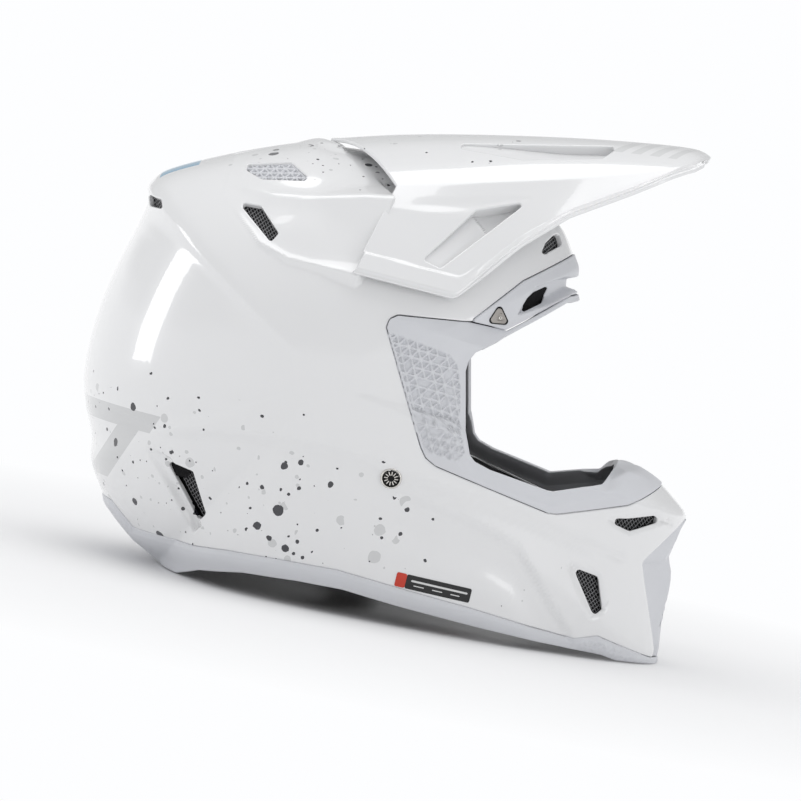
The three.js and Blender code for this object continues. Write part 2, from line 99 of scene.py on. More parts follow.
def grown(polygon, distance):
    """Moves every side of a polygon out by a distance, along the corners' mitres."""
    p = np.asarray(polygon, float)
    area = np.sum(p[:, 0] * np.roll(p[:, 1], -1) - p[:, 1] * np.roll(p[:, 0], -1))
    turn = 1 if area > 0 else -1
    before = unit(p - np.roll(p, 1, axis=0))
    after = unit(np.roll(p, -1, axis=0) - p)
    n0 = np.stack([before[:, 1], -before[:, 0]], 1)
    n1 = np.stack([after[:, 1], -after[:, 0]], 1)
    mitre = unit(n0 + n1)
    reach = distance * turn / np.maximum(0.45, (mitre * n0).sum(1))
    return p + mitre * reach[:, None]


def rounded(polygon, radius, grow=0.0):
    """Signed distance to a polygon with rounded corners, as a function of side-view points."""
    core = grown(polygon, grow - radius)
    return lambda p: polygon_distance(p, core) - radius


# ------------------------------------------------------------------ the dome
HALF_WIDTH = 126.0
CENTRE = np.array([-41.0, 131.0])
SHELL_WALL = 3.5
OUTLINE_RUNS = [
    [(-170.8, 220), (-160, 232), (-121, 250.5), (-82, 264.5), (-64, 265.5), (-39, 266.5),
     (1, 267.5), (35, 262), (62, 252.5), (78, 243.5), (91.5, 223)],
    [(91.5, 223), (93.5, 206)],
    [(93.5, 206), (140, 116.5)],
    [(140, 116.5), (158, 110.3), (167, 105.8), (185.7, 91)],
    [(185.7, 91), (184.2, 50), (184.5, 0)],
    [(184.5, 0), (151, -45), (61, -95), (-29, -100), (-91, -60), (-120, -1)],
    [(-120, -1), (-135, 8), (-155, 26), (-171, 50), (-174, 66), (-182, 86), (-186.3, 106),
     (-185.2, 138), (-179.5, 168), (-171.5, 196)],
    [(-171.5, 196), (-168.5, 210), (-170.8, 220)],
]
TABLE_SIZE = 7200
TABLE_BLUR = 9                # table steps, to round the outline's corners a little
RUN_STEPS = 40
CHIN_DIRECTION = -0.342       # angle of the chin seen from the centre, where the face is less round
CHIN_SHARPNESS = 0.35
SIDE_POWER = 2.2              # 2 is an ellipse, more is squarer
WIDTH_POWER = 2.1


def smoothing_kernel(softness, reach):
    kernel = np.exp(-0.5 * (np.arange(-reach, reach + 1) / softness) ** 2)
    return kernel / kernel.sum()


def outline_table():
    """The side-view outline as distances from the centre at equal steps of angle."""
    dense = np.vstack([catmull(run, RUN_STEPS)[:-1] for run in OUTLINE_RUNS])
    delta = dense - CENTRE
    angle = np.mod(np.arctan2(delta[:, 1], delta[:, 0]), 2 * np.pi)
    order = np.argsort(angle)
    grid = (np.arange(TABLE_SIZE) + 0.5) * 2 * np.pi / TABLE_SIZE
    reach = np.interp(grid, angle[order], np.linalg.norm(delta, axis=1)[order], period=2 * np.pi)
    wrap = 4 * TABLE_BLUR
    padded = np.concatenate([reach[-wrap:], reach, reach[:wrap]])
    return grid, np.convolve(padded, smoothing_kernel(TABLE_BLUR, wrap), mode="valid")


GRID_ANGLE, GRID_REACH = outline_table()


def reach_at(angle):
    return np.interp(np.mod(angle, 2 * np.pi), GRID_ANGLE, GRID_REACH, period=2 * np.pi)


def dome_point(d):
    """The plain dome's face in directions d: the outline's reach, rounded off towards the sides."""
    s = np.hypot(d[:, 0], d[:, 2])
    angle = np.arctan2(d[:, 2], d[:, 0])
    chin = np.maximum(0, np.cos(angle - CHIN_DIRECTION)) ** 4
    rho = s ** (2 / SIDE_POWER)
    y = np.sign(d[:, 1]) * HALF_WIDTH * np.abs(d[:, 1]) ** (2 / (WIDTH_POWER - CHIN_SHARPNESS * chin))
    r = reach_at(angle) * rho
    return np.stack([CENTRE[0] + r * np.cos(angle), y, CENTRE[1] + r * np.sin(angle)], 1)


def tangents(d):
    helper = np.where(np.abs(d[:, 1:2]) < 0.8, [[0.0, 1.0, 0.0]], [[1.0, 0.0, 0.0]])
    t1 = unit(np.cross(helper, d))
    return t1, np.cross(d, t1)


STEP = 0.003                  # of direction, for normals


def with_normal(place, d):
    """Points and outward normals of a face that is given over directions."""
    t1, t2 = tangents(d)
    a = place(unit(d + STEP * t1)) - place(unit(d - STEP * t1))
    b = place(unit(d + STEP * t2)) - place(unit(d - STEP * t2))
    return place(d), unit(np.cross(a, b))


# Raised shoulder behind each wing of the peak: x, then (|y|, z) of its lower edge, its crease
# and a point of its top face.
SHOULDER = np.array([
    [-150, 50, 214, 48, 216, 30, 220],
    [-131, 60, 224, 54, 229, 35, 235],
    [-121, 74, 222, 62, 232, 40, 242],
    [-108, 90, 214, 73, 232, 45, 244],
    [-93, 105, 203, 83, 231, 46, 246],
    [-75, 112.5, 197.5, 88, 233.5, 44, 251],
    [-38, 119, 196.5, 93, 242, 40, 257],
    [-10, 123, 196, 98, 246, 40, 262],
], float)
FLANK_HOLLOW = 3.2
UNDERCUT = 1.25
# Where the peak's rear edge lies: |y| and x.
PEAK_REAR = np.array([(0, -68.3), (30, -56), (52, -42.7), (68, -32.4), (86, -21.7), (96, -23.4),
                      (110, -28.4), (118, -35.4), (140, -36.5)])


def shoulder_radius(x, beta):
    """Radius of the shoulder's section at x, in the direction beta above the side."""
    ly, lz, ty, tz, my, mz = (np.interp(x, SHOULDER[:, 0], SHOULDER[:, k]) for k in range(1, 7))
    e = np.cos(beta), np.sin(beta)

    def line(ay, az, by, bz):
        ny, nz = -(bz - az), (by - ay)
        c = ny * ay + nz * (az - CENTRE[1])
        flip = np.where(c < 0, -1, 1)
        return c * flip / np.maximum((ny * e[0] + nz * e[1]) * flip, 1e-3 * np.hypot(ny, nz))

    flank = line(ly, lz, ty, tz)
    lip = np.arctan2(lz - CENTRE[1], ly)
    crest = np.arctan2(tz - CENTRE[1], ty)
    t = np.clip((beta - lip) / np.maximum(crest - lip, 1e-3), 0, 1)
    flank = flank - FLANK_HOLLOW * np.sin(np.pi * t ** 0.7) * smoothstep(-125, -95, x)
    top = line(ty, tz, my, mz)
    under = np.hypot(ly, lz - CENTRE[1]) * (1 - UNDERCUT * (lip - beta))
    return softmin(softmin(flank, top, 2.2), under, 2.4)


# ------------------------------------------------------------------ side-view outlines
EYEPORT = [(45.8, 120.6), (39.1, 153.4), (39.6, 159.3), (42.5, 165.1), (54.7, 174.4), (57.8, 177.6),
           (77.3, 192.5), (90, 202.5), (150, 215), (170, 130), (139.3, 115.8), (134.6, 110.7),
           (130.5, 103.5), (101.4, 94.2), (64.1, 100.5), (54.6, 103.5), (51, 106.9)]
EYEPORT_TRIM = [(-10.7, 170.1), (-9.9, 175), (-5.9, 178.1), (35.5, 182), (57.8, 181), (77.3, 195.8),
                (90, 205.8), (150, 222), (190, 130), (166.1, 105.8), (148.2, 93.8), (108, 82.2),
                (102.2, 81.8), (33, 97), (26.5, 100.5), (22.4, 106.2)]
BROW_TRIM = [(36.5, 182.6), (61.4, 210.8), (89.2, 231.3), (110, 240), (110, 211.7), (90, 206.3),
             (77.3, 196.3), (57.8, 181.5)]
BASE_SEAM = [(-220, 38), (-152.8, 33), (-135.7, 20.4), (-121.7, 20.4), (-98, 20.6), (-76.5, 23.6),
             (-45, 25.3), (-11, 26.2), (25.5, 22.8), (70, 18.6), (132, 10.6), (145.7, 14.5),
             (181.5, 4.2), (210, 4.2)]
BASE_ARCH = [(-220, 0), (-106, 0), (-92, 6.5), (-65, 12), (-33, 14.2), (-6, 14.6), (29, 11),
             (77, 7.2), (113, 5), (150, 2.5), (160, 0), (210, 0)]
MOUTH_EDGE = [(185.9, 89), (183.1, 85.1), (167.2, 64.8), (164.3, 60.8), (167.6, 50.9),
              (176.3, 27.5), (183, 9), (183, -9), (230, -9), (230, 89)]
VENTS = {
    "brow_screen": [(63.3, 192.9), (65.8, 201), (68.6, 205), (75.9, 209.7), (73.8, 200)],
    "forehead_screen": [(69, 229.1), (69.7, 234.5), (72.9, 239.1), (75.5, 241.3), (79.2, 234.8),
                        (70.4, 228.2)],
    "shoulder_screen": [(-109.8, 222.3), (-97.3, 223.0), (-83.8, 210.4), (-87.1, 204.6)],
    "crown_grille": [(-113.9, 243.3), (-86.2, 250.8), (-73.8, 243.9), (-101.2, 238.8)],
    "rear_slot_screen": [(-167.9, 215.2), (-158, 214.8), (-155.5, 209), (-164.8, 208.8)],
    "rear_screen": [(-121.2, 66.3), (-105.4, 64), (-93.5, 41), (-96.9, 35.7)],
    "chin_upper_screen": [(140.8, 83.1), (152, 78.7), (168.3, 86.1), (165.2, 88.8), (149.5, 85)],
    "chin_lower_screen": [(124.5, 51.4), (138.8, 48.7), (144.9, 31), (141, 26.7)],
}
STRAP_RIVET = (9.0, 85.0)
PEAK_PIVOT = (-8.0, 203.0)


def crease_line(points, x):
    p = np.asarray(points, float)
    return np.interp(x, p[:, 0], p[:, 1])


def seam_height(x):
    return crease_line(BASE_SEAM, x)


def arch_height(x):
    return crease_line(BASE_ARCH, x)


# ------------------------------------------------------------------ the shell's face
BELTLINE = [(-186, 92), (-132, 84.2), (-82, 93.5), (-29, 95.8), (4, 91.3), (60, 83), (89, 77.8),
            (122, 68.9), (150, 62)]
JAW_CREASE = [(-20, 88), (6, 82.2), (77, 65), (91, 59), (109.6, 37), (133, 10)]
CHIN_NOTCH_UPPER = [(168.2, 86.8), (174.5, 88.4), (177.5, 83.2)]
CHIN_NOTCH_LOWER = [(141.5, 26.0), (146.5, 29.0), (148.5, 35.5), (144.5, 31.5)]
CHIN_GROOVE = [(60.5, 83.3), (89.3, 77.8), (122.1, 68.9), (150, 62)]
REAR_RAMP = [(-140, 73), (-121, 67.5), (-96, 33), (-99, 29)]
# Dents in the face: depth, where the wall starts and ends past the outline, and the outline.
DENTS = (
    (1.6, 2.5, -1.5, grown(VENTS["chin_upper_screen"], 1.0)),
    (1.8, 3.0, -1.5, grown(VENTS["chin_lower_screen"], 0.8)),
    (1.1, 0.8, -1.4, CHIN_NOTCH_UPPER),
    (1.2, 0.8, -1.6, CHIN_NOTCH_LOWER),
)
BELT_TUCK = 2.4
JAW_TUCK = 2.2
RAMP_DEPTH = 4.2
RAMP_LENGTH = 22.0
GROOVE_DEPTH = 0.9
GROOVE_WIDTH = 3.0
LIP_HEIGHT = 2.4              # of the crown just behind the peak's rear edge


def path_distance(q, path):
    """Distance from side-view points to an open line of points."""
    best = np.full(len(q), np.inf)
    for a, b in zip(np.asarray(path[:-1], float), np.asarray(path[1:], float)):
        e = b - a
        t = np.clip(((q - a) @ e) / (e @ e), 0, 1)
        best = np.minimum(best, np.linalg.norm(q - a - t[:, None] * e, axis=1))
    return best


def features(p):
    """How far the bare shell's face stands proud of the dome, along its normal."""
    x, _, z = p.T
    q = np.stack([x, z], 1)
    belt = z - crease_line(BELTLINE, x)
    # Below the beltline the flank is tucked in a little; it runs out towards the chin and nape.
    ends = smoothstep(-175, -140, x) * smoothstep(150, 118, x)
    h = -BELT_TUCK * smoothstep(2.0, -7.0, belt) * smoothstep(-70, -30, belt) * ends
    jaw = z - crease_line(JAW_CREASE, x)
    ends = smoothstep(-5, 30, x) * smoothstep(150, 128, x)
    h -= JAW_TUCK * smoothstep(2.0, -6.0, jaw) * smoothstep(-38, -16, jaw) * ends
    # The rear vent sits at the end of a ramp that falls in from behind.
    fall = np.clip(((x + 138) * 0.79 + (72 - z) * 0.2) / RAMP_LENGTH, 0, 1)
    h -= RAMP_DEPTH * smoothstep(1.4, -1.4, polygon_distance(q, REAR_RAMP)) * fall
    for depth, start, end, outline in DENTS:
        h -= depth * smoothstep(start, end, polygon_distance(q, outline))
    # A soft groove along the beltline's front.
    h -= GROOVE_DEPTH * np.exp(-(path_distance(q, CHIN_GROOVE) / GROOVE_WIDTH) ** 2)
    return h


def place_shell(d):
    """The bare shell's face in directions d: the dome, its features and the raised shoulders."""
    base, normal = with_normal(dome_point, d)
    p = base + normal * features(base)[:, None]
    x, y, z = p.T
    rise = z - CENTRE[1]
    beta = np.arctan2(rise, np.abs(y))
    r = np.hypot(y, rise)
    zone = (x > -150) & (x < 0) & (rise > 30)
    raised = r.copy()
    if zone.any():
        aside = np.abs(y[zone])
        past = x[zone] - np.interp(aside, PEAK_REAR[:, 0], PEAK_REAR[:, 1])
        there = smoothstep(3.0, -0.5, past) * smoothstep(16, 34, aside)
        top = shoulder_radius(x[zone], beta[zone])
        lifted = softmax(r[zone], top, 3.0)
        # Between the shoulders a low lip meets the peak's rear edge.
        lip = smoothstep(-24, -4, past) * smoothstep(0.3, -1.4, past) * smoothstep(34, 16, aside)
        raised[zone] = r[zone] + (lifted - r[zone]) * there + LIP_HEIGHT * lip
    scale = raised / np.maximum(r, 1e-6)
    return np.stack([x, y * scale, CENTRE[1] + rise * scale], 1)


# ------------------------------------------------------------------ panels
def sphere_grid(n):
    """Directions and quads of a cube mapped to a sphere, n cells along each edge."""
    t = np.tan(np.linspace(-math.pi / 4, math.pi / 4, n + 1))
    u, v = np.meshgrid(t, t, indexing="ij")
    one = np.ones_like(u)
    sides = [(one, u, v), (-one, v, u), (v, one, u), (u, -one, v), (u, v, one), (v, u, -one)]
    points, quads = [], []
    index = np.arange((n + 1) ** 2).reshape(n + 1, n + 1)
    a, b, c, d = index[:-1, :-1], index[1:, :-1], index[1:, 1:], index[:-1, 1:]
    quad = np.stack([a, b, c, d], -1).reshape(-1, 4)
    for k, side in enumerate(sides):
        points.append(np.stack([s.ravel() for s in side], 1))
        quads.append(quad + k * (n + 1) ** 2)
    points = unit(np.vstack(points))
    quads = np.vstack(quads)
    _, first, inverse = np.unique(np.round(points * 1e6).astype(np.int64), axis=0,
                                  return_index=True, return_inverse=True)
    points, quads = points[first], inverse.reshape(-1)[quads]
    mid = points[quads].mean(1)
    corner = [points[quads[:, k]] for k in range(3)]
    face = np.cross(corner[1] - corner[0], corner[2] - corner[0])
    wrong = (face * mid).sum(1) < 0
    quads[wrong] = quads[wrong][:, ::-1]
    return points, quads


def compact(params, quads):
    """Only the points that the quads use."""
    used = np.unique(quads)
    remap = np.full(len(params), -1)
    remap[used] = np.arange(len(used))
    return params[used], remap[quads]


def blend_params(a, b, t, spherical):
    mixed = a + (b - a) * t[:, None]
    return unit(mixed) if spherical else mixed


def crossings(params, f, pairs, evaluate, spherical):
    """Where the field is zero along each pair's edge, by false position."""
    a, b = params[pairs[:, 0]], params[pairs[:, 1]]
    lo, hi = np.zeros(len(pairs)), np.ones(len(pairs))
    flo, fhi = f[pairs[:, 0]].copy(), f[pairs[:, 1]].copy()
    t = flo / (flo - fhi)
    for _ in range(4):
        value = evaluate(blend_params(a, b, t, spherical))
        same = np.sign(value) == np.sign(flo)
        lo, flo = np.where(same, t, lo), np.where(same, value, flo)
        hi, fhi = np.where(same, hi, t), np.where(same, fhi, value)
        t = np.clip(lo + (hi - lo) * flo / (flo - fhi + 1e-12 * (flo == fhi)), 0.001, 0.999)
    return t, blend_params(a, b, t, spherical)


SNAP = 0.28                   # a cut this near a grid point moves the point instead


def clip_grid(params, quads, place, field, spherical=True, near=4.0):
    """Keeps the part of a grid where the field is positive; returns params and polygons."""
    evaluate = lambda q: field(place(q))
    rough = evaluate(params)
    keep = (rough[quads] > -near).any(1)
    params, quads = compact(params, quads[keep])
    f = evaluate(params)
    sides = np.vstack([quads[:, [i, (i + 1) % 4]] for i in range(4)])
    edges = np.unique(np.sort(sides, axis=1), axis=0)
    cross = edges[(f[edges[:, 0]] > 0) != (f[edges[:, 1]] > 0)]
    params = params.copy()
    if len(cross):
        t, where = crossings(params, f, cross, evaluate, spherical)
        best = {}
        for k in np.nonzero((t < SNAP) | (t > 1 - SNAP))[0]:
            vertex, gap = (cross[k, 0], t[k]) if t[k] < 0.5 else (cross[k, 1], 1 - t[k])
            if vertex not in best or gap < best[vertex][0]:
                best[vertex] = (gap, k)
        for vertex, (_, k) in best.items():
            params[vertex] = where[k]
            f[vertex] = 0.0
    first, second = f[edges[:, 0]], f[edges[:, 1]]
    cross = edges[((first > 0) & (second < 0)) | ((first < 0) & (second > 0))]
    extra = {}
    if len(cross):
        _, where = crossings(params, f, cross, evaluate, spherical)
        for k, (a, b) in enumerate(cross):
            extra[(a, b)] = len(params) + k
        params = np.vstack([params, where])
    g = f[quads]
    whole = (g >= 0).all(1) & (g > 0).any(1)
    polygons = [tuple(q) for q in quads[whole]]
    mixed = (g > 0).any(1) & (g < 0).any(1)
    for q in quads[mixed]:
        shape = []
        for i in range(4):
            a, b = q[i], q[(i + 1) % 4]
            if f[a] >= 0:
                shape.append(a)
            key = (min(a, b), max(a, b))
            if key in extra:
                shape.append(extra[key])
        if len(shape) >= 3:
            polygons.append(tuple(shape))
    used = sorted({v for p in polygons for v in p})
    remap = {v: i for i, v in enumerate(used)}
    return params[used], [tuple(remap[v] for v in p) for p in polygons]


def boundary_loops(polygons):
    """Boundary edges in face order, chained to loops of vertices."""
    seen = set()
    for p in polygons:
        for a, b in zip(p, p[1:] + p[:1]):
            seen.add((a, b))
    following = {}
    for a, b in seen:
        if (b, a) not in seen:
            following.setdefault(a, []).append(b)
    loops = []
    while following:
        start = next(iter(following))
        loop = [start]
        here = start
        while True:
            nexts = following.get(here)
            if not nexts:
                break
            step = nexts.pop()
            if not nexts:
                del following[here]
            if step == start:
                break
            loop.append(step)
            here = step
        if len(loop) > 2:
            loops.append(loop)
    return loops


class Build:
    """Vertices with normals and faces, gathered for one mesh. Lengths are in millimetres."""

    def __init__(self):
        self.points, self.normals, self.faces, self.groups = [], [], [], []
        self.count = 0

    def add(self, points, normals, faces, group=0):
        points = np.asarray(points, float)
        base = self.count
        self.points.append(points)
        self.normals.append(np.asarray(normals, float))
        self.faces.extend(tuple(base + int(v) for v in f) for f in faces)
        self.groups.extend([group] * len(faces))
        self.count += len(points)
        return base


def panel(params, polygons, surface, depth, radius=0.8, turn=3, closed=True, inner_group=0):
    """A plate whose face is the given part of a surface: rounded rim, wall and inner face."""
    p, n = surface(params)
    d = depth(p) if callable(depth) else np.full(len(p), float(depth))
    out = Build()
    out.add(p, n, polygons)
    inner = out.add(p - n * d[:, None], -n, [f[::-1] for f in polygons], inner_group) if closed else None
    for loop in boundary_loops(polygons):
        loop = np.array(loop)
        q, m, dd = p[loop], n[loop], d[loop]
        before, after = q - np.roll(q, 1, axis=0), np.roll(q, -1, axis=0) - q
        tangent = unit(unit(before) + unit(after))
        outward = unit(np.cross(tangent, m))
        r = np.minimum(radius, dd * 0.4)
        size = len(loop)
        rows, row_normals = [], []
        for k in range(1, turn + 1):
            angle = 0.5 * math.pi * k / turn
            out_by, down_by = r * math.sin(angle), r * (1 - math.cos(angle))
            rows.append(q + outward * out_by[:, None] - m * down_by[:, None])
            row_normals.append(outward * math.sin(angle) + m * math.cos(angle))
        bottom = q + outward * r[:, None] - m * (dd - r * 0.6)[:, None]
        rows.append(bottom)
        row_normals.append(outward)
        base = out.add(np.vstack(rows), np.vstack(row_normals), [])
        ring = np.arange(size)
        nxt = np.roll(ring, -1)
        previous = loop
        faces = []
        for k in range(len(rows)):
            current = base + k * size + ring
            for i in range(size):
                faces.append((previous[nxt[i]], previous[ring[i]], current[ring[i]], current[nxt[i]]))
            previous = current
        if closed:
            last = inner + loop
            for i in range(size):
                faces.append((previous[nxt[i]], previous[ring[i]], last[ring[i]], last[nxt[i]]))
        out.faces.extend(tuple(int(v) for v in f) for f in faces)
        out.groups.extend([0] * len(faces))
    return out


def make_object(name, build, material, normals=True):
    points = np.vstack(build.points) * MM
    mesh = bpy.data.meshes.new(name)
    sizes = np.array([len(f) for f in build.faces], np.int32)
    flat = np.fromiter((v for f in build.faces for v in f), np.int32, int(sizes.sum()))
    mesh.vertices.add(len(points))
    mesh.vertices.foreach_set("co", points.astype(np.float32).ravel())
    mesh.loops.add(len(flat))
    mesh.loops.foreach_set("vertex_index", flat)
    mesh.polygons.add(len(sizes))
    starts = np.concatenate([[0], np.cumsum(sizes)[:-1]]).astype(np.int32)
    mesh.polygons.foreach_set("loop_start", starts)
    mesh.polygons.foreach_set("material_index", np.array(build.groups, np.int32))
    mesh.update(calc_edges=True)
    mesh.validate()
    mesh.shade_smooth()
    if normals:
        mesh.normals_split_custom_set_from_vertices([tuple(v) for v in unit(np.vstack(build.normals))])
    for m in (material if isinstance(material, (list, tuple)) else [material]):
        mesh.materials.append(m)
    obj = bpy.data.objects.new(name, mesh)
    bpy.context.scene.collection.objects.link(obj)
    return obj


def finish_piece(name, build, material, body, nodes):
    """One visual piece: it rides on a body, stands for CAD nodes and has a material slot."""
    piece = make_object(name, build, material)
    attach(piece, body)
    if nodes:
        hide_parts(*nodes)
    return piece


# ------------------------------------------------------------------ materials
def shader(name, base=(0.8, 0.8, 0.8), roughness=0.5, metallic=0.0, **sockets):
    material = bpy.data.materials.new(name)
    material.use_nodes = True
    tree = material.node_tree
    bsdf = tree.nodes["Principled BSDF"]
    bsdf.inputs["Base Color"].default_value = (*base, 1)
    bsdf.inputs["Roughness"].default_value = roughness
    bsdf.inputs["Metallic"].default_value = metallic
    for key, value in sockets.items():
        bsdf.inputs[key.replace("_", " ")].default_value = value
    return material, tree, bsdf


def node(tree, kind, **settings):
    made = tree.nodes.new(kind)
    for key, value in settings.items():
        setattr(made, key, value)
    return made


def feed(tree, socket, value):
    """Sets a socket to a number or a colour, or links another node's output to it."""
    if isinstance(value, (int, float)):
        socket.default_value = value
    elif isinstance(value, (tuple, list)):
        socket.default_value = (*value, 1)
    else:
        tree.links.new(value, socket)


def math_node(tree, operation, a, b=None, c=None):
    made = node(tree, "ShaderNodeMath", operation=operation)
    for i, value in enumerate((a, b, c)):
        if value is not None:
            feed(tree, made.inputs[i], value)
    return made.outputs[0]


def product(tree, *values):
    total = values[0]
    for value in values[1:]:
        total = math_node(tree, "MULTIPLY", total, value)
    return total


def between(tree, value, low, high):
    return product(tree, math_node(tree, "GREATER_THAN", value, low),
                   math_node(tree, "LESS_THAN", value, high))


def mix_color(tree, fac, a, b):
    made = node(tree, "ShaderNodeMix", data_type="RGBA")
    for socket, value in ((0, fac), (6, a), (7, b)):
        feed(tree, made.inputs[socket], value)
    return made.outputs[2]


def ramp_between(tree, value, low, high):
    made = node(tree, "ShaderNodeMapRange")
    made.inputs["From Min"].default_value = low
    made.inputs["From Max"].default_value = high
    tree.links.new(value, made.inputs["Value"])
    return made.outputs["Result"]


def object_coords(tree):
    return node(tree, "ShaderNodeTexCoord").outputs["Object"]


def texture(tree, kind, scale, coords=None):
    made = node(tree, "ShaderNodeTex" + kind)
    made.inputs["Scale"].default_value = scale
    tree.links.new(coords or object_coords(tree), made.inputs["Vector"])
    return made


def noise(tree, scale, detail=2.0, roughness=0.5, coords=None):
    made = texture(tree, "Noise", scale, coords)
    made.inputs["Detail"].default_value = detail
    made.inputs["Roughness"].default_value = roughness
    return made.outputs["Fac"]


def bump(tree, bsdf, height, strength, distance, socket="Normal"):
    made = node(tree, "ShaderNodeBump")
    made.inputs["Strength"].default_value = strength
    made.inputs["Distance"].default_value = distance
    tree.links.new(height, made.inputs["Height"])
    tree.links.new(made.outputs["Normal"], bsdf.inputs[socket])


def shade(color, factor):
    return tuple(c * factor for c in color)


def mottle(tree, bsdf, fac, base, low, high):
    """Lets the base colour wander between two shades of one colour."""
    tree.links.new(mix_color(tree, fac, shade(base, low), shade(base, high)), bsdf.inputs["Base Color"])


PAINT_WHITE = (0.79, 0.793, 0.80)
PAINT_GREY = (0.60, 0.605, 0.61)
PAINT_BAR = (0.66, 0.665, 0.67)
PAINT_BLACK = (0.010, 0.011, 0.018)
PAINT_BLUE = (0.03, 0.30, 0.52)
# Specks in each paint: the cell of their loose grid, the biggest radius (both in metres) and the
# grid's own shift.
SPECKS = (
    (PAINT_GREY, ((0.0115, 0.0038, 0), (0.006, 0.0016, 2))),
    (PAINT_BLACK, ((0.0095, 0.0030, 8), (0.0050, 0.0012, 14))),
)
SPECK_WOBBLE = 0.0016
SPECK_WOBBLE_SCALE = 260
SPECK_SHIFT = (0.173, 0.311, 0.457)


def dots(tree, coords, cell, biggest, density, seed):
    """Round paint specks: one sphere in each cell of a loose grid, some of them left out."""
    moved = node(tree, "ShaderNodeMapping")
    moved.inputs["Location"].default_value = shade(SPECK_SHIFT, seed)
    tree.links.new(coords, moved.inputs["Vector"])
    wobble = texture(tree, "Noise", SPECK_WOBBLE_SCALE, moved.outputs[0])
    shift = node(tree, "ShaderNodeVectorMath", operation="SCALE")
    shift.inputs["Scale"].default_value = SPECK_WOBBLE
    tree.links.new(wobble.outputs["Color"], shift.inputs[0])
    total = node(tree, "ShaderNodeVectorMath", operation="ADD")
    tree.links.new(moved.outputs[0], total.inputs[0])
    tree.links.new(shift.outputs[0], total.inputs[1])
    cells = texture(tree, "Voronoi", 1 / cell, total.outputs[0])
    parts = node(tree, "ShaderNodeSeparateColor")
    tree.links.new(cells.outputs["Color"], parts.inputs[0])
    size = math_node(tree, "MULTIPLY", math_node(tree, "POWER", parts.outputs[0], 2.2), biggest / cell)
    size = math_node(tree, "ADD", size, 0.12 * biggest / cell)
    inside = math_node(tree, "LESS_THAN", cells.outputs["Distance"], size)
    present = math_node(tree, "LESS_THAN", parts.outputs[1], density)
    return product(tree, inside, present)


def splatter(tree, color, coords, density, seed):
    """Clustered specks of grey paint, then black ones over them."""
    cluster = ramp_between(tree, noise(tree, 24 + seed * 0.1, 3, 0.6, coords), 0.42, 0.62)
    density = product(tree, density, math_node(tree, "MULTIPLY_ADD", cluster, 1.25, 0.2))
    for paint, grids in SPECKS:
        coats = [dots(tree, coords, cell, biggest, density, seed + shift) for cell, biggest, shift in grids]
        color = mix_color(tree, math_node(tree, "MAXIMUM", *coats), color, paint)
    return color


def shell_paint(name, graphics):
    """Clear-coated white, with the painted graphics that a function adds to it."""
    material, tree, bsdf = shader(name, PAINT_WHITE, 0.22, Coat_Weight=1.0, Coat_Roughness=0.025,
                                  Coat_IOR=1.55)
    coords = object_coords(tree)
    xyz = node(tree, "ShaderNodeSeparateXYZ")
    tree.links.new(coords, xyz.inputs[0])
    color = mix_color(tree, noise(tree, 40, 3), PAINT_WHITE, shade(PAINT_WHITE, 0.985))
    color = graphics(tree, color, coords, *(xyz.outputs[i] for i in range(3)))
    tree.links.new(color, bsdf.inputs["Base Color"])
    bump(tree, bsdf, noise(tree, 900, 2), 0.03, 0.0002)
    bump(tree, bsdf, noise(tree, 260, 2), 0.035, 0.0004, "Coat Normal")
    return material


def helmet_graphics(tree, color, coords, x, y, z):
    """Specks low on the sides and on the crown, a band and a block round the nape, a crown patch."""
    near_rear = product(tree, ramp_between(tree, x, 0.02, -0.07), ramp_between(tree, z, 0.125, 0.07))
    low_front = product(tree, ramp_between(tree, x, 0.12, 0.0), ramp_between(tree, z, 0.100, 0.055))
    crown = product(tree, ramp_between(tree, z, 0.240, 0.262), ramp_between(tree, x, -0.15, -0.10))
    density = math_node(tree, "MULTIPLY_ADD", near_rear, 0.9, product(tree, low_front, 0.35))
    density = math_node(tree, "MULTIPLY_ADD", crown, 0.85, density)
    slant = math_node(tree, "MULTIPLY_ADD", z, -0.45, x)
    band = product(tree, between(tree, z, 0.080, 0.0915), math_node(tree, "LESS_THAN", slant, -0.171))
    block = product(tree, between(tree, z, 0.047, 0.0915), between(tree, slant, -0.192, -0.178))
    color = mix_color(tree, math_node(tree, "MAXIMUM", band, block), color, PAINT_GREY)
    patch = product(tree, between(tree, x, -0.163, -0.1415), between(tree, y, -0.028, 0.028),
                    math_node(tree, "GREATER_THAN", z, 0.2))
    color = mix_color(tree, patch, color, PAINT_BLUE)
    return splatter(tree, color, coords, density, 3)


def peak_graphics(tree, color, coords, x, y, z):
    """Specks on the rear of the peak's top and plain pale slanting bars on its front."""
    density = product(tree, ramp_between(tree, x, 0.08, -0.03), ramp_between(tree, z, 0.262, 0.283))
    density = product(tree, density, 0.8)
    slant = math_node(tree, "MULTIPLY_ADD", math_node(tree, "ABSOLUTE", y), 0.5, x)
    stripe = math_node(tree, "LESS_THAN", math_node(tree, "PINGPONG", slant, 0.0055), 0.0030)
    bars = product(tree, between(tree, math_node(tree, "ABSOLUTE", y), 0.010, 0.042),
                   between(tree, slant, 0.116, 0.156), math_node(tree, "GREATER_THAN", z, 0.292), stripe)
    color = mix_color(tree, bars, color, PAINT_BAR)
    return splatter(tree, color, coords, density, 23)


def rubber(name, base, roughness):
    material, tree, bsdf = shader(name, base, roughness, Specular_IOR_Level=0.45)
    mottle(tree, bsdf, noise(tree, 55, 4), base, 1.0, 0.94)
    bump(tree, bsdf, noise(tree, 2600, 3), 0.16, 0.0002)
    return material


def plastic(name, base, roughness, grain=1500, strength=0.2, level=0.5):
    material, tree, bsdf = shader(name, base, roughness, Specular_IOR_Level=level)
    mottle(tree, bsdf, noise(tree, 80, 3), base, 1.0, 0.8)
    bump(tree, bsdf, noise(tree, grain, 3), strength, 0.0003)
    return material


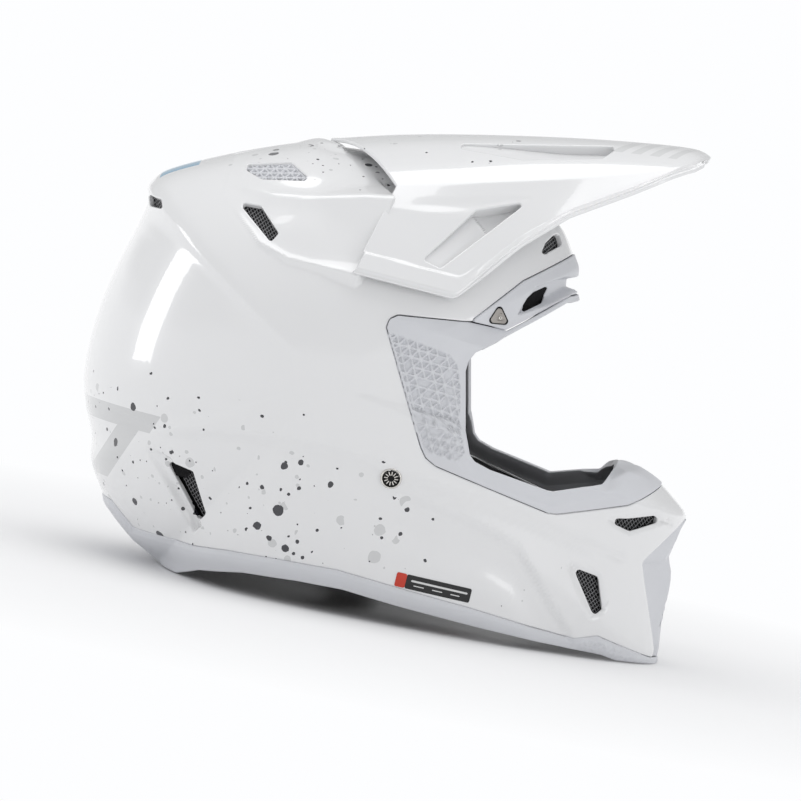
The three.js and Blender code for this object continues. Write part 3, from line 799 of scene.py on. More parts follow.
def metal(name, base, roughness):
    material, tree, bsdf = shader(name, base, roughness, 1.0)
    varied = node(tree, "ShaderNodeMapRange")
    varied.inputs["To Min"].default_value = roughness * 0.8
    varied.inputs["To Max"].default_value = roughness * 1.5
    tree.links.new(noise(tree, 700, 4), varied.inputs["Value"])
    tree.links.new(varied.outputs[0], bsdf.inputs["Roughness"])
    bump(tree, bsdf, noise(tree, 1800, 2), 0.05, 0.0002)
    return material


def foam(name, base, gap):
    material, tree, bsdf = shader(name, base, 0.85, Specular_IOR_Level=0.15)
    beads = texture(tree, "Voronoi", 330).outputs["Distance"]
    tree.links.new(mix_color(tree, beads, base, gap), bsdf.inputs["Base Color"])
    bump(tree, bsdf, beads, 0.5, 0.0006)
    return material


def fabric(name, base):
    material, tree, bsdf = shader(name, base, 0.85, Sheen_Weight=0.02, Sheen_Roughness=0.5,
                                  Specular_IOR_Level=0.12)
    knit = texture(tree, "Voronoi", 900)
    mottle(tree, bsdf, noise(tree, 60, 4), base, 1.0, 1.5)
    bump(tree, bsdf, knit.outputs["Distance"], 0.6, 0.0005)
    return material


def webbing(name, base):
    material, tree, bsdf = shader(name, base, 0.6, Sheen_Weight=0.1, Sheen_Roughness=0.4)
    heights = []
    for turn in (0.7, -0.7):
        turned = node(tree, "ShaderNodeMapping")
        turned.inputs["Rotation"].default_value = (turn, 0.5 * turn, turn)
        tree.links.new(object_coords(tree), turned.inputs["Vector"])
        heights.append(texture(tree, "Wave", 230, turned.outputs[0]).outputs["Fac"])
    weave = math_node(tree, "MAXIMUM", *heights)
    mottle(tree, bsdf, weave, base, 0.55, 1.35)
    bump(tree, bsdf, weave, 0.7, 0.0004)
    return material


SHELL_PAINT = shell_paint("shell_gloss", helmet_graphics)
PEAK_PAINT = shell_paint("peak_gloss", peak_graphics)
TRIM = rubber("trim_rubber", (0.66, 0.67, 0.70), 0.42)
# Vent wires: mid grey, lighter than the black mesh's own colour, as a painted glint.
MESH_GREY_PAINTED_GLINT = plastic("vent_mesh", (0.26, 0.26, 0.27), 0.35)
NYLON = plastic("black_nylon", (0.006, 0.006, 0.0065), 0.5, level=0.2)
SLIP = plastic("slip_plastic", (0.03, 0.11, 0.28), 0.4)
CHROME = metal("bright_metal", (0.68, 0.66, 0.63), 0.16)
BADGE = metal("badge_metal", (0.36, 0.34, 0.32), 0.34)
# Liner foam: black, made darker than its own black as painted shade inside the helmet.
FOAM_BLACK_AND_PAINTED_SHADE = foam("liner_foam", (0.012, 0.012, 0.013), (0.006, 0.006, 0.007))
# Liner fabric: black, made darker than its own black as painted shade inside the helmet.
LINER_BLACK_AND_PAINTED_SHADE = fabric("liner_fabric", (0.004, 0.004, 0.0045))
WEBBING = webbing("strap_webbing", (0.016, 0.016, 0.018))
THREAD = fabric("strap_thread", (0.03, 0.03, 0.032))
TAB = webbing("tab_fabric", (0.55, 0.03, 0.02))
SLOT_MATERIALS = {
    "shell_gloss": SHELL_PAINT, "trim_rubber": TRIM, "vent_mesh": MESH_GREY_PAINTED_GLINT, "liner_foam": FOAM_BLACK_AND_PAINTED_SHADE,
    "liner_fabric": LINER_BLACK_AND_PAINTED_SHADE, "strap_webbing": WEBBING, "tab_fabric": TAB, "black_nylon": NYLON,
    "slip_plastic": SLIP, "bright_metal": CHROME, "badge_metal": BADGE,
}
for part in frame["record"]["subparts"]:
    cad = frame["nodes"][part["node"]]
    cad.data.materials.clear()
    cad.data.materials.append(SLOT_MATERIALS[part["material_slot"]])

# ------------------------------------------------------------------ shell and trims
FIT_GAP = 0.35                # between the shell's openings and the trims in them
SEAM_GAP = 0.02
SHELL_TUCK = 0.4              # the shell's lower edge runs this far under the base trim
RIVET_HOLE = 4.2
RIM = 0.9                     # radius of the shell's rounded edges
TRIM_RIM = 0.7
TRIM_WALL = 4.2
TRIM_PROUD = 0.8


def surface_of(place):
    return lambda d: with_normal(place, d)


def side(p):
    """Points in the side view: x and z."""
    return p[:, [0, 2]]


trim_zone = rounded(EYEPORT_TRIM, 3.0)
brow_zone = rounded(BROW_TRIM, 1.2)
mouth_zone = rounded(MOUTH_EDGE, 1.5)
port_zone = rounded(EYEPORT, 3.0)
vent_zones = {name: rounded(at, 0.8 if name == "brow_screen" else 1.5) for name, at in VENTS.items()}


def shell_field(p):
    """Positive where the shell is: outside the trims, the vents and the rivet's hole."""
    q = side(p)
    inside = [zone(q) - FIT_GAP for zone in (trim_zone, brow_zone, mouth_zone)]
    inside.append(q[:, 1] - seam_height(q[:, 0]) + SHELL_TUCK)
    inside += [zone(q) for name, zone in vent_zones.items() if name != "brow_screen"]
    inside.append(np.hypot(q[:, 0] - STRAP_RIVET[0], q[:, 1] - STRAP_RIVET[1]) - RIVET_HOLE)
    return np.minimum.reduce(inside) - RIM


params, polygons = clip_grid(*sphere_grid(150), place_shell, shell_field)
# The shell's inner faces take the black nylon: painted shade, darker than the inside's own grey.
finish_piece("shell", panel(params, polygons, surface_of(place_shell), SHELL_WALL, RIM, inner_group=1),
             [SHELL_PAINT, NYLON], "helmet_body", ["outer_shell"])

# The whole face without openings, to set small pieces on.
directions, quads = sphere_grid(110)
whole_face = BVHTree.FromPolygons([tuple(v) for v in place_shell(directions)],
                                  [tuple(int(i) for i in q) for q in quads])


def on_side(x, z, y_sign=-1):
    """The shell's face at a side-view place: point and outward normal."""
    hit, normal, _, _ = whole_face.ray_cast(Vector((x, 200 * y_sign, z)), Vector((0, -y_sign, 0)))
    return (np.array(hit), np.array(normal)) if hit else (None, None)


# ------------------------------------------------------------------ trims
LATTICE_EDGE = 5.8
LATTICE_TURN = math.radians(-5.5)
LATTICE_DEPTH = 1.25
LATTICE_MISSING = 0.13        # share of ribs left out
LATTICE_ZONE = [(-10.2, 167.5), (-1.8, 166), (10.5, 164.4), (27.1, 161), (34.3, 155), (38, 146),
                (43, 120), (48, 107), (43, 101.5), (35.9, 103), (25.5, 105), (20.8, 111)]
CHIN_FACET = [(139, 116.5), (156.5, 108), (135.3, 106.2)]


def scattered(*parts):
    """A number from 0 to 1 that looks random and is the same each time."""
    return np.mod(np.sin(sum(a * b for a, b in parts)) * 43758.5453, 1.0)


def lattice(p):
    """Height of the triangular ribs at side-view points, 0 in the pockets to 1 on a rib."""
    spacing = LATTICE_EDGE * math.sqrt(3) / 2
    ribs = []
    for k in range(3):
        angle = LATTICE_TURN + k * math.pi / 3
        across = p @ np.array([-math.sin(angle), math.cos(angle)])
        along = p @ np.array([math.cos(angle), math.sin(angle)])
        index = np.round(across / spacing)
        off = np.abs(across - index * spacing)
        place = np.floor(along / LATTICE_EDGE + 0.5 * np.mod(index, 2))
        chance = scattered((index, 12.9898), (place, 78.233), (k, 37.719))
        ribs.append(np.where(chance > LATTICE_MISSING, smoothstep(0.85, 0.4, off), 0))
    return np.maximum.reduce(ribs)


def place_trim(d):
    p, n = with_normal(place_shell, d)
    q = side(p)
    h = np.full(len(p), TRIM_PROUD)
    # The edge along the opening is a facet that falls away inside.
    h -= 4.0 * smoothstep(9.5, 0.0, port_zone(q)) * smoothstep(60, 30, q[:, 1] - 110)
    # A fold runs forward from the rear corner, above the ribbed field.
    fold = (q[:, 1] - 175.3) + (q[:, 0] + 8) * 0.123
    h += 1.0 * smoothstep(-12, 0, fold) - 0.28 * np.maximum(0, fold) * smoothstep(75, 50, q[:, 0])
    h += 0.6 * np.maximum(0, -polygon_distance(q, CHIN_FACET))
    zone = polygon_distance(q, LATTICE_ZONE)
    inside = smoothstep(0.5, -0.5, zone) * smoothstep(0.7, 1.5, -trim_zone(q))
    touched = zone < 2
    ribs = np.zeros(len(q))
    ribs[touched] = lattice(q[touched])
    h += inside * (LATTICE_DEPTH * ribs - LATTICE_DEPTH)
    return p + n * h[:, None]


def trim_field(p):
    q = side(p)
    return np.minimum(-trim_zone(q), port_zone(q)) - TRIM_RIM


def trim_piece(name, grid, place, field, wall, rim, node_name):
    params, polygons = clip_grid(*grid, place, field)
    finish_piece(name, panel(params, polygons, surface_of(place), wall, rim), TRIM, "helmet_body",
                 [node_name])


trim_piece("eyeport_edging", sphere_grid(480), place_trim, trim_field, TRIM_WALL, TRIM_RIM,
           "eyeport_trim")

BROW_WALL = 4.0
BROW_POCKET_DEPTH = 7.0
BROW_POCKET = [(61.8, 191), (64, 199), (69, 208.5), (84, 216.5), (124, 221), (124, 212.6), (91, 209),
               (79, 200.2)]


def place_brow(d):
    p, n = with_normal(place_shell, d)
    h = TRIM_PROUD - BROW_POCKET_DEPTH * smoothstep(0.6, -1.8, polygon_distance(side(p), BROW_POCKET))
    return p + n * h[:, None]


def brow_field(p):
    q = side(p)
    return np.minimum(-brow_zone(q), vent_zones["brow_screen"](q)) - TRIM_RIM


middle = sphere_grid(300)
trim_piece("brow_vent_trim", middle, place_brow, brow_field, BROW_WALL, TRIM_RIM, "brow_trim")

BASE_WALL = 8.0
EMBOSSING = 0.55              # height of the ribs at the front of the base trim


def place_base(d):
    p, n = with_normal(place_shell, d)
    below = seam_height(p[:, 0]) - p[:, 2]
    h = TRIM_PROUD + 0.9 * smoothstep(0.0, 3.0, below) - 2.6 * smoothstep(4.0, 16.0, below)
    embossed = smoothstep(134, 137, p[:, 0]) * smoothstep(181, 178, p[:, 0]) * smoothstep(1.2, 2.0, below)
    embossed = embossed * smoothstep(0.8, 2.0, p[:, 2] - arch_height(p[:, 0]))
    touched = embossed > 0
    h[touched] += EMBOSSING * embossed[touched] * lattice(side(p)[touched])
    return p + n * h[:, None]


def base_field(p):
    q = side(p)
    return np.minimum(seam_height(q[:, 0]) - SEAM_GAP - q[:, 1], q[:, 1] - arch_height(q[:, 0])) - RIM


trim_piece("base_edging", middle, place_base, base_field, BASE_WALL, RIM, "base_trim")

# Mouth vent, by height: the shell's edge in x, the inner edge of the side facet, and the centre.
MOUTH_ROWS = np.array([
    [1, 183, 184.6, 184.2], [9, 183, 184.6, 184.9], [22.4, 178.2, 181.2, 183.4],
    [35, 173.4, 178.8, 183.4], [43, 170.5, 177.3, 183.6], [50.9, 167.6, 176, 183.3],
    [56.5, 165.7, 174.9, 182.4], [60.8, 164.3, 174.5, 180.6], [64.8, 167.2, 177.2, 179.4],
    [75, 175.3, 181.4, 181.7], [82, 180.7, 183, 183.2], [88, 185, 185.4, 185.6],
])
MOUTH_WALL = 2.6
MOUTH_EDGE_RADIUS = 0.5
MOUTH_TOP = 87.5
MOUTH_SLOT_HEIGHTS = (24.0, 30.2, 36.4, 42.6, 48.8)
MOUTH_SLOT_MIDDLE, MOUTH_SLOT_HALF_Y, MOUTH_SLOT_HALF_Z, MOUTH_SLOT_CORNER = 6.2, 4.2, 1.7, 1.2
SHELL_FRONT = 185.0


def mouth_column(k, z):
    return np.interp(z, MOUTH_ROWS[:, 0], MOUTH_ROWS[:, k])


def mouth_half_width(z):
    """|y| of the bare face at the shell's mouth edge."""
    return np.interp(z, MOUTH_WIDTH_Z, MOUTH_WIDTH)


MOUTH_WIDTH_Z = np.linspace(0, 89, 60)
MOUTH_WIDTH = []
for z in MOUTH_WIDTH_Z:
    reach = float(reach_at(math.atan2(z - CENTRE[1], SHELL_FRONT - CENTRE[0] - 1.0)))
    hit, _ = on_side(min(float(mouth_column(1, z)), reach, SHELL_FRONT), z, 1)
    MOUTH_WIDTH.append(np.nan if hit is None else abs(hit[1]))
MOUTH_WIDTH = np.array(MOUTH_WIDTH)
known = ~np.isnan(MOUTH_WIDTH)
MOUTH_WIDTH = np.interp(MOUTH_WIDTH_Z, MOUTH_WIDTH_Z[known], MOUTH_WIDTH[known])


def mouth_front(s_, z):
    """x of the mouth vent at s_, which is 0 on the centre line and 1 at the shell's edge."""
    outer = mouth_column(1, z) - 1.8
    inner, centre = mouth_column(2, z), mouth_column(3, z)
    nose = centre - (centre - inner) * np.clip((s_ - 0.28) / 0.26, 0, 1)
    flank = inner + (outer - inner) * np.clip((s_ - 0.54) / 0.46, 0, 1.2)
    return np.where(s_ < 0.54, nose, flank)


def place_mouth(uv):
    z = 1.0 + (MOUTH_TOP - 1.0) * uv[:, 0]
    s_ = np.abs(uv[:, 1])
    x = sum(w * mouth_front(np.abs(s_ + k), z) for w, k in ((0.5, 0), (0.25, 0.02), (0.25, -0.02)))
    y = uv[:, 1] * (mouth_half_width(z) + 0.8)
    return np.stack([x, y, z], 1)


def mouth_slot_distance(p):
    best = np.full(len(p), np.inf)
    for z in MOUTH_SLOT_HEIGHTS:
        dy = np.abs(np.abs(p[:, 1]) - MOUTH_SLOT_MIDDLE) - MOUTH_SLOT_HALF_Y + MOUTH_SLOT_CORNER
        dz = np.abs(p[:, 2] - z) - MOUTH_SLOT_HALF_Z + MOUTH_SLOT_CORNER
        best = np.minimum(best, np.hypot(np.maximum(dy, 0), np.maximum(dz, 0)) - MOUTH_SLOT_CORNER)
    return best


def mouth_field(p):
    above_seam = p[:, 2] - seam_height(p[:, 0]) - 0.1
    return np.minimum(mouth_slot_distance(p), above_seam) - MOUTH_EDGE_RADIUS


MOUTH_EPS = 0.003


def mouth_surface(uv):
    a = place_mouth(uv + [MOUTH_EPS, 0]) - place_mouth(uv - [MOUTH_EPS, 0])
    b = place_mouth(uv + [0, MOUTH_EPS]) - place_mouth(uv - [0, MOUTH_EPS])
    return place_mouth(uv), unit(np.cross(b, a))


def uv_grid(rows, columns):
    u, v = np.meshgrid(np.linspace(0, 1, rows + 1), np.linspace(-1, 1, columns + 1), indexing="ij")
    index = np.arange((rows + 1) * (columns + 1)).reshape(rows + 1, columns + 1)
    quad = np.stack([index[:-1, :-1], index[1:, :-1], index[1:, 1:], index[:-1, 1:]], -1).reshape(-1, 4)
    return np.stack([u.ravel(), v.ravel()], 1), quad


params, quads = uv_grid(*(((150, 170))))
params, polygons = clip_grid(params, quads[:, ::-1], place_mouth, mouth_field, spherical=False)
finish_piece("mouth_vent_frame", panel(params, polygons, mouth_surface, MOUTH_WALL, MOUTH_EDGE_RADIUS),
             TRIM, "helmet_body", ["mouth_vent"])

# ------------------------------------------------------------------ peak
# Guide points from the centre to the lower edge of a wing, rear to front.
PEAK_GUIDES = np.array([
    [[-68.3, 0, 269.4], [-43, -52, 266.8], [-21.7, -86, 251], [-24.5, -98, 240], [-35.3, -121, 198]],
    [[-35, 0, 278.5], [-15, -50, 274], [2, -84, 256.5], [0, -98, 241], [-5.6, -121, 196.4]],
    [[0, 0, 286], [18, -48, 281], [30, -80, 263.2], [28, -95, 240], [24.2, -117, 194.7]],
    [[40, 0, 293], [48, -46, 287.5], [60, -75.5, 270.5], [58, -86, 253], [55, -100, 231]],
    [[80, 0, 299.5], [84, -42, 294], [90, -68, 278.5], [86, -78, 266], [80, -88, 253.5]],
    [[118, 0, 304.4], [120, -36, 299.5], [120, -58.5, 287], [116, -65, 280], [112, -71, 272.8]],
    [[148.5, 0, 307.2], [146, -28, 304], [141, -48, 295.5], [140, -52, 293], [139.5, -55.5, 290.8]],
    [[155.8, 0, 304], [154.5, -24, 302.8], [152, -40, 300.9], [151, -43, 300.4], [149.7, -46, 299.5]],
], float)
LINES = np.array([0.0, 0.34, 0.62, 0.74, 1.0])      # v of the centre, mid, crease, flank and edge
PEAK_STEPS = 24
PEAK_SOFTNESS = (9.0, 9.0, 7.0, 5.0, 1.6)
PEAK_WALL = 2.6
PEAK_RIM = 1.0


def guide_line(points, softness):
    """Straight runs through the points with rounded bends, the ends kept in place."""
    p = np.asarray(points, float)
    at = np.linspace(0, len(p) - 1, (len(p) - 1) * PEAK_STEPS + 1)
    line = np.stack([np.interp(at, np.arange(len(p)), p[:, k]) for k in range(3)], 1)
    reach = int(4 * softness)
    kernel = smoothing_kernel(softness, reach)
    before = 2 * line[0] - line[reach:0:-1]
    after = 2 * line[-1] - line[-2:-reach - 2:-1]
    padded = np.vstack([before, line, after])
    return np.stack([np.convolve(padded[:, k], kernel, mode="valid") for k in range(3)], 1)


PEAK_LINES = np.stack([guide_line(PEAK_GUIDES[:, k], PEAK_SOFTNESS[k]) for k in range(5)], 1)
# The wing bends only half as much at its flank line as its guide points say.
straight = (LINES[3] - LINES[2]) / (1 - LINES[2]) * (PEAK_LINES[:, 4] - PEAK_LINES[:, 2])
PEAK_LINES[:, 3] = 0.5 * (PEAK_LINES[:, 3] + (PEAK_LINES[:, 2] + straight))


def peak_line(k, u):
    at = np.clip(u, 0, 1) * (len(PEAK_LINES) - 1)
    low = np.clip(at.astype(int), 0, len(PEAK_LINES) - 2)
    t = (at - low)[:, None]
    return PEAK_LINES[low, k] * (1 - t) + PEAK_LINES[low + 1, k] * t


def peak_raw(uv):
    """The peak before its creases are softened: u runs from rear to front, v from wing to wing."""
    u, v = uv[:, 0], np.abs(uv[:, 1])
    centre, mid, crease, flank, edge = (peak_line(k, u) for k in range(5))
    a = np.clip(v / LINES[2], 0, 1)[:, None]
    # Top: a parabola-like arc through centre, mid and crease, level at the centre.
    ta = LINES[1] / LINES[2]
    top = centre + (crease - centre) * a ** 2 + (mid - centre - (crease - centre) * ta ** 2) * (
        a * (1 - a)) / (ta * (1 - ta))
    b = np.clip((v - LINES[2]) / (LINES[3] - LINES[2]), 0, 1)[:, None]
    c = np.clip((v - LINES[3]) / (1 - LINES[3]), 0, 1.1)[:, None]
    wall = np.where(c > 0, flank + (edge - flank) * c, crease + (flank - crease) * b)
    p = np.where((v <= LINES[2])[:, None], top, wall)
    p[:, 1] *= np.where(uv[:, 1] < 0, 1, -1)
    return p


CREASE_BLUR = 0.005           # of v; the weights are those of a small binomial filter


def peak_soft(uv):
    out = peak_raw(uv) * 0.375
    for step, weight in ((CREASE_BLUR, 0.25), (2 * CREASE_BLUR, 0.0625)):
        out += weight * (peak_raw(uv + [0, step]) + peak_raw(uv - [0, step]))
    return out


SLOT_POCKET = [(1.7, 212.2), (25.9, 245.8), (52.4, 255.2), (12.9, 209.4)]
WALL_WEDGE = [(-24, 236.5), (-23.5, 241.5), (54, 258.5), (26, 246)]
TOP_POCKET = [(8, 280.2), (99, 297.7), (92, 290.2), (46, 280.2)]
CENTRE_SCREW = 22.0           # x of the peak's centre screw
SCREW_HOLE = 3.2
SCREW_RECESS = 4.4
PEAK_EPS = np.array([0.002, 0.0])
PEAK_EPV = np.array([0.0, 0.0025])


def normal_over(place, uv, step_u=PEAK_EPS, step_v=PEAK_EPV):
    """Unit normal of a face that is given over two parameters, by central differences."""
    a = place(uv + step_u) - place(uv - step_u)
    b = place(uv + step_v) - place(uv - step_v)
    return unit(np.cross(a, b))


def place_peak(uv):
    """The peak's outer face, with its flange, facet, wedge and screw recess."""
    p = peak_soft(uv)
    n = normal_over(peak_soft, uv)
    u, v = uv[:, 0], np.abs(uv[:, 1])
    on_wall = smoothstep(LINES[2] + 0.01, LINES[2] + 0.03, v)
    # A flange stands proud along the lower edge of the wing, and rolls over at the edge itself.
    wall = peak_line(4, u) - peak_line(2, u)
    strip = (1 - v) / (1 - LINES[2]) * np.linalg.norm(wall, axis=1)
    h = 1.0 * smoothstep(14.0, 12.0, strip) * on_wall * smoothstep(0.36, 0.22, u)
    # Further forward the edge turns out in a narrow facet.
    facet = 0.3 * np.maximum(0, 9.0 - strip) * on_wall
    h += facet * smoothstep(0.28, 0.40, u) * smoothstep(0.95, 0.80, u)
    h -= 1.2 * smoothstep(1.8, 0.0, strip) * on_wall
    wedge = 0.4 * smoothstep(2.5, -3.0, polygon_distance(side(p), WALL_WEDGE)) * on_wall
    h -= wedge * smoothstep(0.03, 0.15, u)
    h -= SCREW_RECESS * smoothstep(8.6, 6.6, np.hypot(p[:, 0] - CENTRE_SCREW, p[:, 1]))
    return p + n * h[:, None]


POCKET_RIM = 0.8
TRAY_OVERLAP = 0.6            # of a pocket's floor under the peak's face
TRAY_WALL = 1.6
TRAY_SIDE = 1.5


def slot_depth(q):
    """The slot falls in from its lower rear end, then steps down once."""
    run = np.clip(((q[:, 0] - 1.7) * 0.58 + (q[:, 1] - 212) * 0.81) / 45.0, 0, 1.1)
    return 1.6 + 5.6 * run + 2.0 * smoothstep(-0.6, 0.6, 0.69 * q[:, 0] + 0.72 * q[:, 1] - 194.5)


def top_depth(q):
    return 1.4 + 4.4 * smoothstep(10, 80, q[:, 0])


# Outline and depth of each pocket, and between which values of v it lies.
POCKETS = (
    (rounded(SLOT_POCKET, 1.4), slot_depth, LINES[2] + 0.02, 1.01),
    (rounded(TOP_POCKET, 1.0), top_depth, 0.2, LINES[2] - 0.015),
)


def on_pocket(uv, low, high):
    v = np.abs(uv[:, 1])
    return (v > low) & (v < high)


def peak_keep(uv):
    p = place_peak(uv)
    f = np.hypot(p[:, 0] - CENTRE_SCREW, p[:, 1]) - SCREW_HOLE
    for zone, _, low, high in POCKETS:
        f = np.where(on_pocket(uv, low, high), np.minimum(f, zone(side(p)) - POCKET_RIM), f)
    return f


def clip_uv(keep):
    """The part of the peak's grid that a field keeps; here the field is over the grid's parameters."""
    return clip_grid(peak_grid, peak_quads, lambda uv: uv, keep, spherical=False)


peak_grid, peak_quads = uv_grid(*(((200, 270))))
UPWARD = -1 if normal_over(place_peak, np.array([[0.5, 0.0]]))[0, 2] < 0 else 1


def peak_face(uv):
    return place_peak(uv), UPWARD * normal_over(place_peak, uv)


def add_tray(build, zone, depth_of, low, high, sign):
    """A pocket's floor and its wall, each with an inner and an outer skin."""
    def tray_keep(uv):
        inside = on_pocket(uv, low, high) & (uv[:, 1] * sign > 0)
        return np.where(inside, TRAY_OVERLAP - zone(side(place_peak(uv))), -50.0)

    def place_floor(uv):
        p, n = peak_face(uv)
        return p - n * depth_of(side(p))[:, None]

    cells, tray = clip_uv(tray_keep)
    tray = [p[::UPWARD] for p in tray]
    top, n = peak_face(cells)
    flat = place_floor(cells)
    build.add(flat, UPWARD * normal_over(place_floor, cells), tray)
    build.add(flat - n * TRAY_WALL, -n, [f[::-1] for f in tray])
    for loop in boundary_loops(tray):
        loop = np.array(loop)
        high_ring, low_ring = top[loop] - n[loop] * 0.9, flat[loop]
        tangent = unit(np.roll(low_ring, -1, axis=0) - np.roll(low_ring, 1, axis=0))
        away = unit(np.cross(tangent, n[loop]))
        size = len(loop)
        ring, following = np.arange(size), np.roll(np.arange(size), -1)
        for shift, drop, turn in ((0.0, 0, 1), (TRAY_SIDE, TRAY_WALL, -1)):
            lower = low_ring + away * shift - n[loop] * drop
            upper = high_ring + away * shift
            faces = [(i, j, size + j, size + i)[::-turn] for i, j in zip(ring, following)]
            build.add(np.vstack([lower, upper]), np.vstack([-away * turn] * 2), faces)


params, polygons = clip_uv(peak_keep)
visor_build = panel(params, [p[::UPWARD] for p in polygons], peak_face, PEAK_WALL, PEAK_RIM)
for pocket in POCKETS:
    for sign in (-1, 1):
        add_tray(visor_build, *pocket, sign)
finish_piece("sun_peak", visor_build, PEAK_PAINT, "peak", ["visor_peak"])

# ------------------------------------------------------------------ small pieces on the faces
def fitted_face(polygon, y_sign=-1, margin=2.0):
    """A smooth cubic y(x, z) through the whole face under a side-view outline."""
    outline = np.asarray(polygon, float)
    lo, hi = outline.min(0) - margin, outline.max(0) + margin
    xs, zs = np.meshgrid(np.linspace(lo[0], hi[0], 9), np.linspace(lo[1], hi[1], 9))
    samples = []
    for x, z in zip(xs.ravel(), zs.ravel()):
        hit, _ = on_side(x, z, y_sign)
        if hit is not None:
            samples.append(hit)
    samples = np.array(samples)
    mid = outline.mean(0)

    def terms(q):
        a, b = (q - mid).T / 20
        return np.stack([np.ones_like(a), a, b, a * a, a * b, b * b, a ** 3, a * a * b, a * b * b, b ** 3],
                        1)

    fit, *_ = np.linalg.lstsq(terms(side(samples)), samples[:, 1], rcond=None)

    def place(q, lift=0.0):
        eps = 0.2
        y = terms(q) @ fit
        dx = (terms(q + [eps, 0]) @ fit - y) / eps
        dz = (terms(q + [0, eps]) @ fit - y) / eps
        p = np.stack([q[:, 0], y, q[:, 1]], 1)
        n = unit(np.stack([-dx, np.ones_like(dx), -dz], 1)) * y_sign
        return p + n * np.reshape(lift, (-1, 1)), n

    return place


def sweep(points, profile, across, closed=False):
    """Sweeps a closed 2-D profile along points; across gives the profile's first axis."""
    p = np.asarray(points, float)
    ahead = np.roll(p, -1, axis=0) - p
    behind = p - np.roll(p, 1, axis=0)
    if not closed:
        ahead[-1], behind[0] = behind[-1], ahead[0]
    along = unit(unit(ahead) + unit(behind))
    across = np.broadcast_to(np.asarray(across, float), p.shape)
    first = unit(across - along * (across * along).sum(1, keepdims=True))
    second = np.cross(along, first)
    shape = np.asarray(profile, float)
    step = np.roll(shape, -1, axis=0) - np.roll(shape, 1, axis=0)
    out2d = unit(np.stack([step[:, 1], -step[:, 0]], 1))
    area = np.sum(shape[:, 0] * np.roll(shape[:, 1], -1) - shape[:, 1] * np.roll(shape[:, 0], -1))
    if area < 0:
        shape, out2d = shape[::-1], -out2d[::-1]
    size = len(shape)

    def spread(flat):
        return first[:, None] * flat[None, :, :1], second[:, None] * flat[None, :, 1:]

    wide, high = spread(shape)
    vertices = (p[:, None] + wide + high).reshape(-1, 3)
    normals = sum(spread(out2d)).reshape(-1, 3)
    faces = []
    rows = len(p)
    for i in range(rows if closed else rows - 1):
        a, b = i * size, ((i + 1) % rows) * size
        for j in range(size):
            k = (j + 1) % size
            faces.append((a + j, a + k, b + k, b + j))
    if not closed:
        ends = [vertices[:size], vertices[-size:]]
        vertices = np.vstack([vertices, *ends])
        normals = np.vstack([normals, np.repeat(-along[:1], size, 0), np.repeat(along[-1:], size, 0)])
        faces.append(tuple(rows * size + j for j in reversed(range(size))))
        faces.append(tuple((rows + 1) * size + j for j in range(size)))
    return vertices, normals, faces


def circle(radius, sides=8, squash=1.0):
    a = np.arange(sides) * 2 * math.pi / sides
    return np.stack([radius * np.cos(a), radius * squash * np.sin(a)], 1)


def lathe(profile, centre, axis, segments=48, ripple=None):
    """Turns (radius, height) points about an axis. ripple scales radius by angle."""
    axis = unit(np.asarray(axis, float))
    helper = np.array([0, 0, 1.0]) if abs(axis[2]) < 0.9 else np.array([1.0, 0, 0])
    e1 = unit(np.cross(helper, axis))
    e2 = np.cross(axis, e1)
    prof = np.asarray(profile, float)
    step = np.gradient(prof, axis=0)
    prof_normal = unit(np.stack([step[:, 1], -step[:, 0]], 1))
    angle = np.arange(segments) * 2 * math.pi / segments
    scale = np.ones((len(prof), segments)) if ripple is None else ripple(prof[:, None], angle[None])
    ring = np.cos(angle)[:, None] * e1 + np.sin(angle)[:, None] * e2
    vertices = centre + prof[:, 0, None, None] * scale[..., None] * ring[None] + prof[:, 1, None, None] * axis
    normals = prof_normal[:, 0, None, None] * ring[None] + prof_normal[:, 1, None, None] * axis
    faces = []
    for i in range(len(prof) - 1):
        a, b = i * segments, (i + 1) * segments
        for j in range(segments):
            k = (j + 1) % segments
            faces.append((a + j, a + k, b + k, b + j))
    return vertices.reshape(-1, 3), normals.reshape(-1, 3), faces


def plate(polygon, radius, place, step=0.35):
    """A side-view grid over a polygon, clipped to its rounded outline."""
    outline = np.asarray(polygon, float)
    lo, hi = outline.min(0) - 1, outline.max(0) + 1
    rows, columns = (int(v) + 1 for v in (hi - lo) / step)
    grid, quads = uv_grid(rows, columns)
    q = lo + (hi - lo) * np.stack([grid[:, 0], (grid[:, 1] + 1) / 2], 1)
    zone = rounded(polygon, radius)
    return clip_grid(q, quads, place, lambda p: -zone(side(p)), spherical=False)


# The two sets of wires: direction in degrees, pitch, wire radius and phase of the weave.
WIRES = ((49.5, 2.05, 0.24, 0), (-52, 1.5, 0.2, 1))
WIRE_STEP = 0.55
WIRE_WAVE, WIRE_WAVE_LENGTH = 0.17, 1.8
SCREEN_MARGIN = 1.3
# Gap and thickness of the dark sheet behind the wires: painted shade for the shadowed inside of the vent.
SHADE_SHEET_GAP, SHADE_SHEET_WALL = 1.0, 0.4


